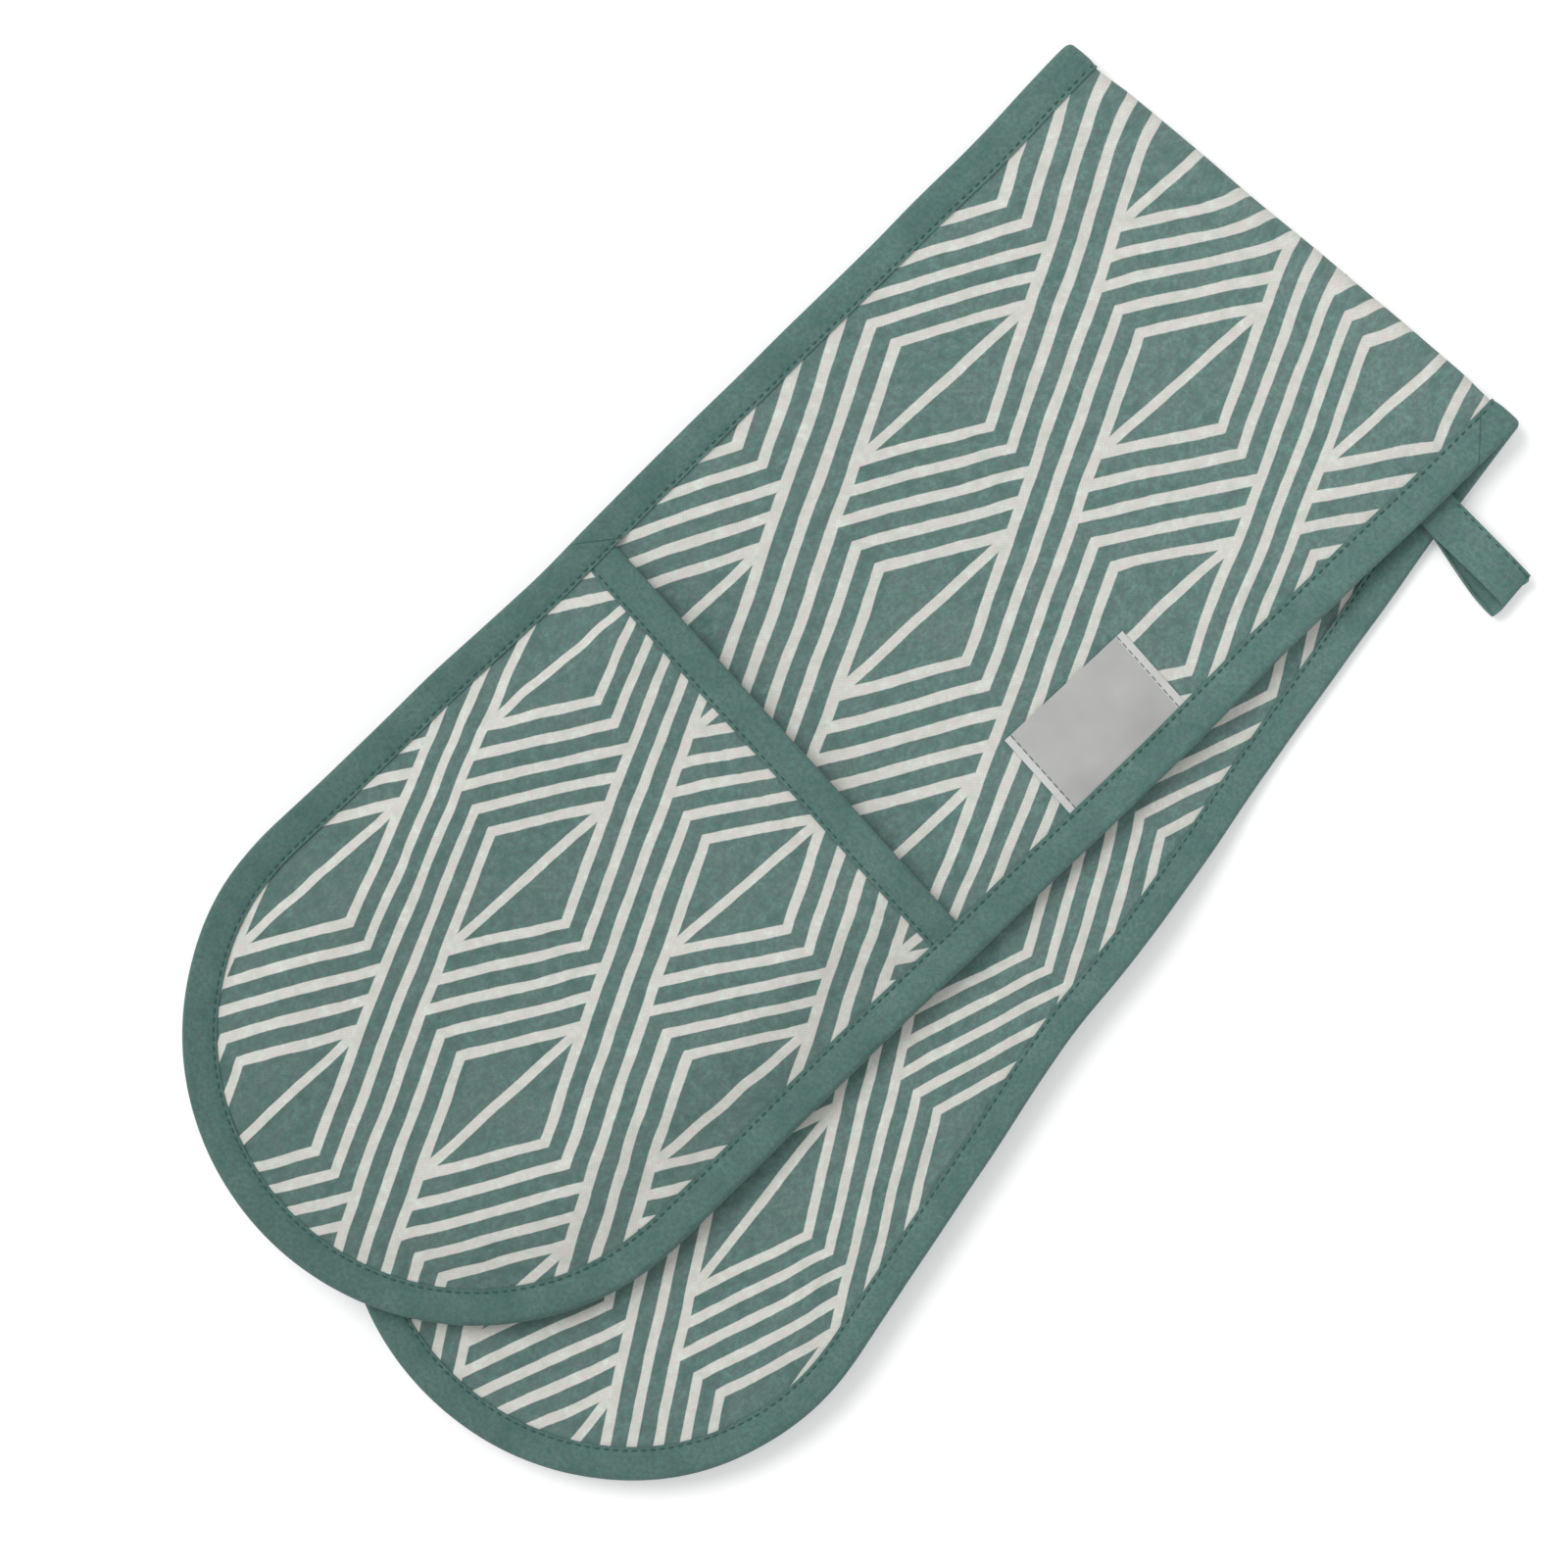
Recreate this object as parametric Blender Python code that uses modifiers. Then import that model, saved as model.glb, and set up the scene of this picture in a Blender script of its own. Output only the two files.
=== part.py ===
"""Double oven glove: a quilted strip folded in half, a padded pocket on each end, a hanging loop.

Metres, +Z up. The glove lies folded on its back pocket, the front half on top.
Each half is modelled in its own frame: x runs from the bend to the rounded tip, y across the
strip, z away from the other half. The bend has a frame of its own on the line it is folded about.
"""

import bpy
import bmesh
from math import cos, pi, radians, sin, tan
from mathutils import Matrix, Vector

# The strip
STRIP_WIDTH = 0.183
FRONT_REACH = 0.442
BACK_REACH = 0.448
FOLD_SLANT = radians(5.5)
HALVES_GAP = 0.003
BODY_THICKNESS = 0.005
BODY_EDGE_THICKNESS = 0.003
BODY_PUFF_RUN = 0.015
CLOTH_THICKNESS = 0.0005
CLEARANCE = 0.0003

# The binding round the strip
BINDING_WIDTH = 0.0105
BINDING_TAPE = 0.0007
BINDING_CORNER = 0.0008
BINDING_STEP_RUN = 0.006

# The pockets
POCKET_DEPTH = 0.225
POCKET_THICKNESS = 0.004
POCKET_EDGE_THICKNESS = 0.002
POCKET_ROOM = 0.006
POCKET_PUFF_RUN = 0.014
POCKET_RISE_RUN = 0.026
MOUTH_BINDING_WIDTH = 0.0112
MOUTH_SLANT = radians(2.2)
LIFT_RUN = 0.082

# The hanging loop, a flat tape folded over and sewn in under the front half's binding
LOOP_WIDTH = 0.0134
LOOP_REACH = 0.0380
LOOP_TAPE = 0.0010
LOOP_EYE_HEIGHT = 0.0060
LOOP_SETBACK = 0.0225
LOOP_NECK = 0.0075

# The label
LABEL_LENGTH = 0.048
LABEL_WIDTH = 0.028
LABEL_THICKNESS = 0.0004
LABEL_SETBACK = 0.121
LABEL_INSET = 0.0015

# Derived from the sizes above
HALF_WIDTH = STRIP_WIDTH / 2
BODY_MID = (HALVES_GAP + BODY_THICKNESS) / 2
EDGE_HALF = BODY_EDGE_THICKNESS / 2
BINDING_HALF = EDGE_HALF + CLEARANCE + BINDING_TAPE
HALVES_MID_HEIGHT = BODY_MID + max(BODY_THICKNESS / 2, BINDING_HALF)
CORE_INSET = BINDING_TAPE + CLEARANCE
PANEL_INSET = BINDING_WIDTH + CLEARANCE
MOUTH_BINDING_HALF = POCKET_EDGE_THICKNESS / 2 + CLEARANCE + BINDING_TAPE
SEAM_LOW = EDGE_HALF + CLEARANCE
SEAM_HIGH = SEAM_LOW + POCKET_EDGE_THICKNESS
POCKET_MID_AT_SEAM = SEAM_LOW + MOUTH_BINDING_HALF
POCKET_MID = BODY_THICKNESS / 2 + POCKET_ROOM + POCKET_THICKNESS / 2
POCKET_LIFT = BODY_MID + POCKET_MID + POCKET_THICKNESS / 2 - HALVES_MID_HEIGHT
BACK_MOUTH = BACK_REACH - POCKET_DEPTH
MOUTH_LEAN = tan(MOUTH_SLANT)
LIFT_LEAD = HALF_WIDTH * sin(2 * FOLD_SLANT) + BACK_MOUTH * (1 - cos(2 * FOLD_SLANT))
FIRST_MOUTH = min(BACK_MOUTH, FRONT_REACH - POCKET_DEPTH + LIFT_LEAD) - HALF_WIDTH * MOUTH_LEAN
LIFT_END = FIRST_MOUTH - 2 * BINDING_STEP_RUN
BACK_LIFT_START = LIFT_END - LIFT_RUN
FOLD_SHIFT = pi * BODY_MID * tan(FOLD_SLANT) / 2
FOLD_HINGE_OFFSET = pi * BODY_MID / 4
FOLD_RADIUS = BODY_MID + max(BODY_THICKNESS / 2, BINDING_HALF)

# Shares and counts that set how finely the cloth is divided
PUFF_ROW_SHARES = (0, 0.45, 1)
RISE_ROW_SHARES = (0, 0.2, 0.4, 0.6, 0.8, 1)
LIFT_STATION_SHARES = (0, 0.15, 0.3, 0.5, 0.7, 0.85, 1)
PUFF_STATION_SHARES = (0, 0.35, 0.7, 1)
LOOP_TOP_SHARES = ((0.36, 0.16), (0.55, 0.26), (0.75, 0.24), (0.9, 0.1))
LOOP_END_SHARES = ((0.975, -0.08), (1, -0.36), (0.975, -0.64))
LOOP_BOTTOM_SHARES = ((0.9, -0.82), (0.75, -0.92), (0.55, -0.9), (0.36, -0.78))
ARC_STEPS = 20
BEND_STEPS = 10

TEAL_PRINT = (0.36, 0.48, 0.46)
BINDING_TEAL = (0.33, 0.46, 0.44)
WADDING_WHITE = (0.88, 0.87, 0.83)
LABEL_GREY = (0.71, 0.715, 0.70)


def clear_scene():
    for obj in list(bpy.data.objects):
        bpy.data.objects.remove(obj, do_unlink=True)


def ease(share):
    """A smooth rise from 0 to 1."""
    share = min(max(share, 0), 1)
    return share * share * (3 - 2 * share)


def stepped_ease(share, stops):
    """The same rise in straight runs between the stops, as the cloth is divided there."""
    if share <= 0 or share >= 1:
        return ease(share)
    before, after = next(pair for pair in zip(stops, stops[1:]) if share <= pair[1])
    way = (share - before) / (after - before)
    return ease(before) * (1 - way) + ease(after) * way


def linear(colour):
    """The linear value of a colour as it is seen."""
    return [((c + 0.055) / 1.055) ** 2.4 for c in colour] + [1]


def cloth_material(name, colour, roughness):
    material = bpy.data.materials.new(name)
    material.use_nodes = True
    shader = material.node_tree.nodes["Principled BSDF"]
    shader.inputs["Base Color"].default_value = linear(colour)
    shader.inputs["Roughness"].default_value = roughness
    shader.inputs["Metallic"].default_value = 0
    material.diffuse_color = linear(colour)
    return material


class Half:
    """One half of the strip: its length and how it rides up over the pocket that it lies on."""

    def __init__(self, name, reach, lift_sign, lift_start):
        self.name = name
        self.reach = reach
        self.lift_sign = lift_sign
        self.lift_start = lift_start
        self.mouth = reach - POCKET_DEPTH
        self.arc_centre = reach - HALF_WIDTH

    def mouth_at(self, y):
        return self.mouth + y * MOUTH_LEAN

    def body_mid(self, x):
        lift = POCKET_LIFT * stepped_ease((x - self.lift_start) / LIFT_RUN, LIFT_STATION_SHARES)
        return BODY_MID + self.lift_sign * lift

    def rim_distance(self, x, y):
        """How far a point lies inside the strip's outer edge."""
        if x <= self.arc_centre:
            return HALF_WIDTH - abs(y)
        return HALF_WIDTH - Vector((x - self.arc_centre, y)).length

    def body_half_thickness(self, x, y):
        inside = self.rim_distance(x, y) - PANEL_INSET
        fullness = stepped_ease(inside / BODY_PUFF_RUN, PUFF_ROW_SHARES)
        return EDGE_HALF + (BODY_THICKNESS / 2 - EDGE_HALF) * fullness

    def body_level(self, side, depth):
        """Height of a layer's face, a depth below the strip's outer or inner face."""
        def level(x, y):
            return self.body_mid(x) + side * (self.body_half_thickness(x, y) - depth)
        return level

    def pocket_mid(self, x, y):
        rise = ease((self.rim_distance(x, y) - PANEL_INSET) / POCKET_RISE_RUN)
        return self.body_mid(x) + POCKET_MID_AT_SEAM + (POCKET_MID - POCKET_MID_AT_SEAM) * rise

    def pocket_half_thickness(self, x, y):
        beside = ease((self.rim_distance(x, y) - PANEL_INSET) / POCKET_PUFF_RUN)
        behind = ease((x - self.mouth_at(y) - MOUTH_BINDING_WIDTH) / POCKET_PUFF_RUN)
        extra = (POCKET_THICKNESS - POCKET_EDGE_THICKNESS) / 2
        return POCKET_EDGE_THICKNESS / 2 + extra * beside * behind

    def pocket_level(self, side, depth):
        """Height of a pocket layer's face, a depth below the pocket's outer or inner face."""
        def level(x, y):
            return self.pocket_mid(x, y) + side * (self.pocket_half_thickness(x, y) - depth)
        return level


class Outline:
    """Lines across the strip's edge, from one side round the tip and back on the other side.

    Some stations lean: their points lie further along the strip the further across they are.
    """

    def __init__(self, half, stations, leans):
        self.half = half
        self.leans = leans
        self.lines = [(x, 1) for x in stations]
        self.lines += [(step / ARC_STEPS, 0) for step in range(ARC_STEPS + 1)]
        self.lines += [(x, -1) for x in reversed(stations)]

    def point(self, line, distance):
        """The point on a line at a distance inside the outer edge."""
        value, side = line
        across = HALF_WIDTH - distance
        if side:
            y = side * across
            return value + y * self.leans.get(value, 0), y
        angle = pi / 2 - pi * value
        return self.half.arc_centre + across * cos(angle), across * sin(angle)


def new_object(name, bm, material, collection):
    bmesh.ops.recalc_face_normals(bm, faces=bm.faces)
    if bm.calc_volume(signed=True) < 0:
        bmesh.ops.reverse_faces(bm, faces=bm.faces)
    mesh = bpy.data.meshes.new(name)
    bm.to_mesh(mesh)
    bm.free()
    mesh.materials.append(material)
    obj = bpy.data.objects.new(name, mesh)
    collection.objects.link(obj)
    return obj


def shade_smooth(obj):
    obj.data.shade_smooth()
    obj.data.set_sharp_from_angle(angle=radians(40))


def fill_between(bm, line_a, line_b):
    """A row of faces between two lines of as many points."""
    for a, b, c, d in zip(line_a, line_a[1:], line_b[1:], line_b):
        bm.faces.new((a, b, c, d))


def panel(name, outline, distances, low, high, material, collection):
    """A layer of the strip or pocket: flat lines of cloth to the middle, shaped on both faces."""
    bm = bmesh.new()
    rows = []
    for line in outline.lines:
        rows.append([bm.verts.new((*outline.point(line, d), 0)) for d in distances])
    for row, following in zip(rows, rows[1:]):
        fill_between(bm, row, following)
    bmesh.ops.remove_doubles(bm, verts=bm.verts, dist=CLEARANCE / 10)
    bmesh.ops.recalc_face_normals(bm, faces=bm.faces)
    bottom = set(bm.verts)
    bmesh.ops.solidify(bm, geom=bm.faces[:], thickness=CLOTH_THICKNESS)
    for vert in bm.verts:
        x, y, _ = vert.co
        vert.co.z = low(x, y) if vert in bottom else high(x, y)
    obj = new_object(name, bm, material, collection)
    shade_smooth(obj)
    return obj


def loft(name, sections, material, collection):
    """A closed body through sections of as many points each, with flat ends."""
    bm = bmesh.new()
    rings = [[bm.verts.new(point) for point in section] for section in sections]
    for ring, following in zip(rings, rings[1:]):
        fill_between(bm, ring + ring[:1], following + following[:1])
    bm.faces.new(rings[0])
    bm.faces.new(rings[-1])
    obj = new_object(name, bm, material, collection)
    shade_smooth(obj)
    return obj


def tape_section(width, low, high):
    """A tape folded round an edge, as (distance inside the edge, height) from end to end."""
    inner_low = low + BINDING_TAPE
    inner_high = high - BINDING_TAPE
    return (
        (width, high), (BINDING_CORNER, high), (0, high - BINDING_CORNER),
        (0, low + BINDING_CORNER), (BINDING_CORNER, low), (width, low),
        (width, inner_low), (BINDING_TAPE, inner_low),
        (BINDING_TAPE, inner_high), (width, inner_high),
    )


def body_rows():
    """Distances inside the edge at which the strip's layers have a line of points."""
    puff = [PANEL_INSET + BODY_PUFF_RUN * share for share in PUFF_ROW_SHARES]
    return [CORE_INSET] + puff + [HALF_WIDTH]


def pocket_rows():
    return [PANEL_INSET + POCKET_RISE_RUN * share for share in RISE_ROW_SHARES] + [HALF_WIDTH]


def body_stations(half):
    lift = [half.lift_start + LIFT_RUN * share for share in LIFT_STATION_SHARES]
    return [CLEARANCE] + lift + [half.arc_centre]


def pocket_stations(half):
    inner = half.mouth + MOUTH_BINDING_WIDTH
    puff = [inner + POCKET_PUFF_RUN * share for share in PUFF_STATION_SHARES]
    return [half.mouth + CORE_INSET] + puff + [half.arc_centre]


def make_body_layers(half, materials, collection):
    """Inner cover, wadding and outer cover of one half."""
    stations = body_stations(half)
    outline = Outline(half, stations, {stations[0]: -tan(FOLD_SLANT)})
    rows = body_rows()
    padding = CLOTH_THICKNESS + CLEARANCE
    level = half.body_level
    layers = (
        ("inner_cover", level(-1, 0), level(-1, CLOTH_THICKNESS), "print"),
        ("wadding", level(-1, padding), level(1, padding), "wadding"),
        ("outer_cover", level(1, CLOTH_THICKNESS), level(1, 0), "print"),
    )
    return [
        panel(f"{half.name}_{part}", outline, rows, low, high, materials[finish], collection)
        for part, low, high, finish in layers
    ]


def make_pocket_layers(half, materials, collection):
    """Lining, wadding and cover of one pocket; the wadding is trimmed clear of the seams."""
    stations = pocket_stations(half)
    rows = pocket_rows()
    padding = CLOTH_THICKNESS + CLEARANCE
    level = half.pocket_level
    leans = dict.fromkeys(stations[:-1], MOUTH_LEAN)
    cover_outline = Outline(half, stations, leans)
    wadding_outline = Outline(half, stations[2:], leans)
    layers = (
        ("lining", cover_outline, rows, level(-1, 0), level(-1, CLOTH_THICKNESS), "print"),
        ("wadding", wadding_outline, rows[1:], level(-1, padding), level(1, padding), "wadding"),
        ("cover", cover_outline, rows, level(1, CLOTH_THICKNESS), level(1, 0), "print"),
    )
    return [
        panel(f"{half.name}_pocket_{part}", outline, lines, low, high, materials[finish], collection)
        for part, outline, lines, low, high, finish in layers
    ]


def make_binding(half, materials, collection):
    """The tape round the edge of one half, thicker where it also holds the pocket's edge."""
    before_pocket = half.mouth - BINDING_STEP_RUN
    stations = body_stations(half)[:-1] + [before_pocket, half.mouth, half.arc_centre]
    leans = {stations[0]: -tan(FOLD_SLANT), before_pocket: MOUTH_LEAN, half.mouth: MOUTH_LEAN}
    outline = Outline(half, stations, leans)
    step = SEAM_HIGH + CLEARANCE + BINDING_TAPE - BINDING_HALF
    sections = []
    for line in outline.lines:
        value, side = line
        held = ease((value - before_pocket) / BINDING_STEP_RUN) if side else 1
        x = value if side else half.arc_centre
        mid = half.body_mid(x)
        section = tape_section(BINDING_WIDTH, mid - BINDING_HALF, mid + BINDING_HALF + step * held)
        sections.append([(*outline.point(line, d), height) for d, height in section])
    return loft(f"{half.name}_binding", sections, materials["binding"], collection)


def make_pocket_seam(half, materials, collection):
    """The pocket's edge, sewn flat between the strip and its binding."""
    outline = Outline(half, [half.mouth, half.arc_centre], {half.mouth: MOUTH_LEAN})
    mid = half.body_mid(half.mouth)
    low = mid + SEAM_LOW
    high = mid + SEAM_HIGH
    corners = ((BINDING_WIDTH, low), (CORE_INSET, low), (CORE_INSET, high), (BINDING_WIDTH, high))
    sections = [
        [(*outline.point(line, d), height) for d, height in corners] for line in outline.lines
    ]
    return loft(f"{half.name}_pocket_seam", sections, materials["print"], collection)


def make_mouth_binding(half, materials, collection):
    """The tape along the open edge of one pocket."""
    across = [HALF_WIDTH - distance for distance in pocket_rows()]
    places = across + [-y for y in reversed(across[:-1])]
    sections = []
    for y in places:
        mid = half.pocket_mid(half.mouth, y)
        section = tape_section(MOUTH_BINDING_WIDTH, mid - MOUTH_BINDING_HALF, mid + MOUTH_BINDING_HALF)
        sections.append([(half.mouth_at(y) + d, y, height) for d, height in section])
    return loft(f"{half.name}_mouth_binding", sections, materials["binding"], collection)


def bend_point(angle, y, radius):
    """A point of the strip where it goes round the bend, in the bend's own frame."""
    along = FOLD_SHIFT * angle / (pi / 2) - y / cos(FOLD_SLANT)
    return radius * cos(angle), along, radius * sin(angle)


def bend_angles():
    return [pi / 2 - pi * step / BEND_STEPS for step in range(BEND_STEPS + 1)]


def make_fold_layers(half, materials, collection):
    """The layers of the strip where they go round the bend."""
    across = [HALF_WIDTH - distance for distance in body_rows()]
    places = across + [-y for y in reversed(across[:-1])]
    padding = CLOTH_THICKNESS + CLEARANCE
    layers = (
        ("inner_cover", (-1, 0), (-1, CLOTH_THICKNESS), "print"),
        ("wadding", (-1, padding), (1, padding), "wadding"),
        ("outer_cover", (1, CLOTH_THICKNESS), (1, 0), "print"),
    )
    made = []
    for part, low, high, finish in layers:
        faces = [(y, half.body_level(*low)(0, y)) for y in places]
        faces += [(y, half.body_level(*high)(0, y)) for y in reversed(places)]
        sections = [[bend_point(angle, y, r) for y, r in faces] for angle in bend_angles()]
        made.append(loft(f"fold_{part}", sections, materials[finish], collection))
    return made


def make_fold_bindings(materials, collection):
    """The two short stretches of binding that go round the bend."""
    section = tape_section(BINDING_WIDTH, BODY_MID - BINDING_HALF, BODY_MID + BINDING_HALF)
    made = []
    for name, side in (("left", -1), ("right", 1)):
        edge = [(side * (HALF_WIDTH - d), radius) for d, radius in section]
        sections = [[bend_point(angle, y, r) for y, r in edge] for angle in bend_angles()]
        made.append(loft(f"fold_binding_{name}", sections, materials["binding"], collection))
    return made


def loop_axis():
    """Middle of the loop's root, in the front half's frame."""
    leg = LOOP_TAPE + CLEARANCE / 2
    height = BODY_MID - BINDING_HALF - CLEARANCE / 2 - leg
    return Vector((LOOP_SETBACK, HALF_WIDTH + CLEARANCE + leg, height))


def make_hanging_loop(materials, collection):
    """A tape that goes out flat, opens into an eye, folds over and comes back."""
    root = loop_axis()
    leg = (LOOP_TAPE + CLEARANCE) / 2
    start = HALF_WIDTH + CLEARANCE
    neck = HALF_WIDTH + LOOP_NECK
    shares = LOOP_TOP_SHARES + LOOP_END_SHARES + LOOP_BOTTOM_SHARES
    path = [(start, leg), (neck, leg)]
    path += [(HALF_WIDTH + LOOP_REACH * o, LOOP_EYE_HEIGHT * h) for o, h in shares]
    path += [(neck, -leg), (start, -leg)]
    bm = bmesh.new()
    for y, height in path:
        bm.verts.new((root.x - LOOP_WIDTH / 2, y, root.z + height))
    bm.verts.ensure_lookup_table()
    edges = [bm.edges.new(pair) for pair in zip(bm.verts, bm.verts[1:])]
    extruded = bmesh.ops.extrude_edge_only(bm, edges=edges)["geom"]
    moved = [item for item in extruded if isinstance(item, bmesh.types.BMVert)]
    bmesh.ops.translate(bm, verts=moved, vec=(LOOP_WIDTH, 0, 0))
    obj = new_object("hanging_loop", bm, materials["binding"], collection)
    thicken = obj.modifiers.new("tape thickness", "SOLIDIFY")
    thicken.thickness = LOOP_TAPE
    thicken.offset = 0
    return obj


def within(lines, start, end):
    """The ends of a stretch and the dividing lines between them."""
    return [start] + sorted(line for line in lines if start < line < end) + [end]


def make_label(half, materials, collection):
    """A bare satin label lying on the front half beside the binding, divided as the cloth is."""
    surface = half.body_level(1, 0)
    outer = HALF_WIDTH - PANEL_INSET - LABEL_INSET
    rows = [HALF_WIDTH - distance for distance in body_rows()]
    places = within(rows, outer - LABEL_WIDTH, outer)
    sections = []
    for x in within(body_stations(half), LABEL_SETBACK, LABEL_SETBACK + LABEL_LENGTH):
        low = [(x, y, surface(x, y) + CLEARANCE) for y in places]
        high = [(x, y, surface(x, y) + CLEARANCE + LABEL_THICKNESS) for y in reversed(places)]
        sections.append(low + high)
    return loft("label", sections, materials["label"], collection)


def frames(front, back):
    """World places of the two halves, the bend and the joint axes."""
    bend = Matrix.Translation((-FOLD_RADIUS, 0, HALVES_MID_HEIGHT)) @ Matrix.Rotation(FOLD_SLANT, 4, "Z")
    turn = Matrix.Rotation(pi - FOLD_SLANT, 4, "Z")
    shift = Matrix.Translation((0, FOLD_SHIFT, 0))
    over = Matrix.Rotation(pi, 4, "X")
    front_half = bend @ shift @ turn
    back_half = bend @ over @ shift @ turn
    offset = FOLD_HINGE_OFFSET
    pocket_edge = BODY_MID + POCKET_MID_AT_SEAM + POCKET_EDGE_THICKNESS / 2
    front_tip = Vector((front.reach - PANEL_INSET, 0, pocket_edge + POCKET_LIFT))
    back_tip = Vector((back.reach - PANEL_INSET, 0, pocket_edge - POCKET_LIFT))
    return {
        "bend": bend,
        "front_half": front_half,
        "back_half": back_half,
        "back_pocket_hinge": back_half @ Matrix.Translation(back_tip),
        "fold_lower_hinge": bend @ Matrix.Translation((offset, 0, -offset)),
        "fold_upper_hinge": bend @ Matrix.Translation((offset, 0, offset)),
        "front_pocket_hinge": front_half @ Matrix.Translation(front_tip),
        "loop_hinge": front_half @ Matrix.Translation(loop_axis()),
    }


def add_empty(name, parent, places, collection):
    empty = bpy.data.objects.new(name, None)
    empty.empty_display_size = BINDING_WIDTH
    collection.objects.link(empty)
    if parent:
        empty.parent = parent
        above = places.get(parent.name, Matrix.Identity(4))
        empty.matrix_basis = above.inverted() @ places[name]
    return empty


def attach(objects, parent, frame, places):
    """Hang finished pieces, modelled in a half's or the bend's frame, on an empty."""
    above = places.get(parent.name, Matrix.Identity(4))
    for obj in objects:
        obj.parent = parent
        obj.matrix_basis = above.inverted() @ places[frame]


def centre_on_origin(root, objects):
    """Move the whole glove so that its box stands centred over the origin."""
    graph = bpy.context.evaluated_depsgraph_get()
    points = []
    for obj in objects:
        shaped = obj.evaluated_get(graph)
        points += [shaped.matrix_world @ vert.co for vert in shaped.data.vertices]
    for axis in (0, 1):
        values = [point[axis] for point in points]
        root.location[axis] = -(min(values) + max(values)) / 2


def build():
    clear_scene()
    collection = bpy.data.collections.new("double_oven_glove")
    bpy.context.scene.collection.children.link(collection)
    materials = {
        "print": cloth_material("printed_cotton", TEAL_PRINT, 0.9),
        "binding": cloth_material("bias_binding", BINDING_TEAL, 0.9),
        "wadding": cloth_material("wadding", WADDING_WHITE, 1.0),
        "label": cloth_material("label_satin", LABEL_GREY, 0.55),
    }
    front = Half("front", FRONT_REACH, 1, BACK_LIFT_START - LIFT_LEAD)
    back = Half("back", BACK_REACH, -1, BACK_LIFT_START)
    places = frames(front, back)

    glove = add_empty("glove", None, places, collection)
    back_hinge = add_empty("back_pocket_hinge", glove, places, collection)
    lower_hinge = add_empty("fold_lower_hinge", back_hinge, places, collection)
    upper_hinge = add_empty("fold_upper_hinge", lower_hinge, places, collection)
    front_hinge = add_empty("front_pocket_hinge", upper_hinge, places, collection)
    loop_hinge = add_empty("loop_hinge", upper_hinge, places, collection)

    pockets = {}
    bodies = {}
    for half in (front, back):
        pockets[half.name] = make_pocket_layers(half, materials, collection)
        pockets[half.name].append(make_mouth_binding(half, materials, collection))
        bodies[half.name] = make_body_layers(half, materials, collection)
        bodies[half.name].append(make_binding(half, materials, collection))
        bodies[half.name].append(make_pocket_seam(half, materials, collection))
    bodies["front"].append(make_label(front, materials, collection))
    fold = make_fold_layers(back, materials, collection)
    fold += make_fold_bindings(materials, collection)
    loop = make_hanging_loop(materials, collection)

    attach(pockets["back"], glove, "back_half", places)
    attach(bodies["back"], back_hinge, "back_half", places)
    attach(fold, lower_hinge, "bend", places)
    attach(bodies["front"], upper_hinge, "front_half", places)
    attach(pockets["front"], front_hinge, "front_half", places)
    attach([loop], loop_hinge, "front_half", places)
    everything = [*pockets["back"], *bodies["back"], *fold, *bodies["front"], *pockets["front"], loop]
    centre_on_origin(glove, everything)


build()
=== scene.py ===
"""Double oven glove, dressed: printed cotton, bias binding, wadding, stitches, loop and bare label.

Each half of the strip is laid out flat first: x runs along the strip from the fold to the rounded
tip, y across it and z away from the other half. strip_place() then takes a flat point into the
model, round the fold where it lies beyond it. Lengths are in metres unless a comment says mm.
"""

from functools import partialmethod, reduce
from math import cos, exp, floor, hypot, pi, radians, sin, tan

import bmesh
import bpy
from mathutils import Matrix, Vector, noise
from mathutils.bvhtree import BVHTree


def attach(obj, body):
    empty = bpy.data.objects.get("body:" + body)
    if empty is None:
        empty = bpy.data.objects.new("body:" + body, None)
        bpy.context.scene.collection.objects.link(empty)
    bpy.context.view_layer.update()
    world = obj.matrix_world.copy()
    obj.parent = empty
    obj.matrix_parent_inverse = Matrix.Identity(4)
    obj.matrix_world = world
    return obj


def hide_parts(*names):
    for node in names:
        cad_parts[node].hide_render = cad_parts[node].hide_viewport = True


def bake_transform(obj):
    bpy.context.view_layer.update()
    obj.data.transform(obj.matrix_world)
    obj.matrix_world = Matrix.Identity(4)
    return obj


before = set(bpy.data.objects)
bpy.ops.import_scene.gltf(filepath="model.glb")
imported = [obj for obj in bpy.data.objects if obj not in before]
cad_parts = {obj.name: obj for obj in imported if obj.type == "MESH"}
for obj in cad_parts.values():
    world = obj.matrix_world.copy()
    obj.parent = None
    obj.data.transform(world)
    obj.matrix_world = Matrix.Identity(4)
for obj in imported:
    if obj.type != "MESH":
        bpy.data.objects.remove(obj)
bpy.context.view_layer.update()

# The strip, as in the frame
HALF_WIDTH = 0.0915
FOLD_SLANT = radians(5.5)
BODY_MID = 0.004
BODY_HALF = 0.0025
EDGE_HALF = 0.0015
BODY_PUFF_RUN = 0.015
PANEL_INSET = 0.0108
CLOTH_HALF_WIDTH = 0.0905
CLOTH_THICKNESS = 0.0005
WADDING_GAP = 0.0002
POCKET_LIFT = 0.010
LIFT_RUN = 0.082
NEUTRAL_RADIUS = BODY_MID
FOLD_SHIFT = pi * BODY_MID * tan(FOLD_SLANT) / 2
FOLD_RUN = pi * NEUTRAL_RADIUS / 2 / cos(FOLD_SLANT)
FOLD_WAVE = 0.0006
FOLD_WAVES_PER_M = 28

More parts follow.
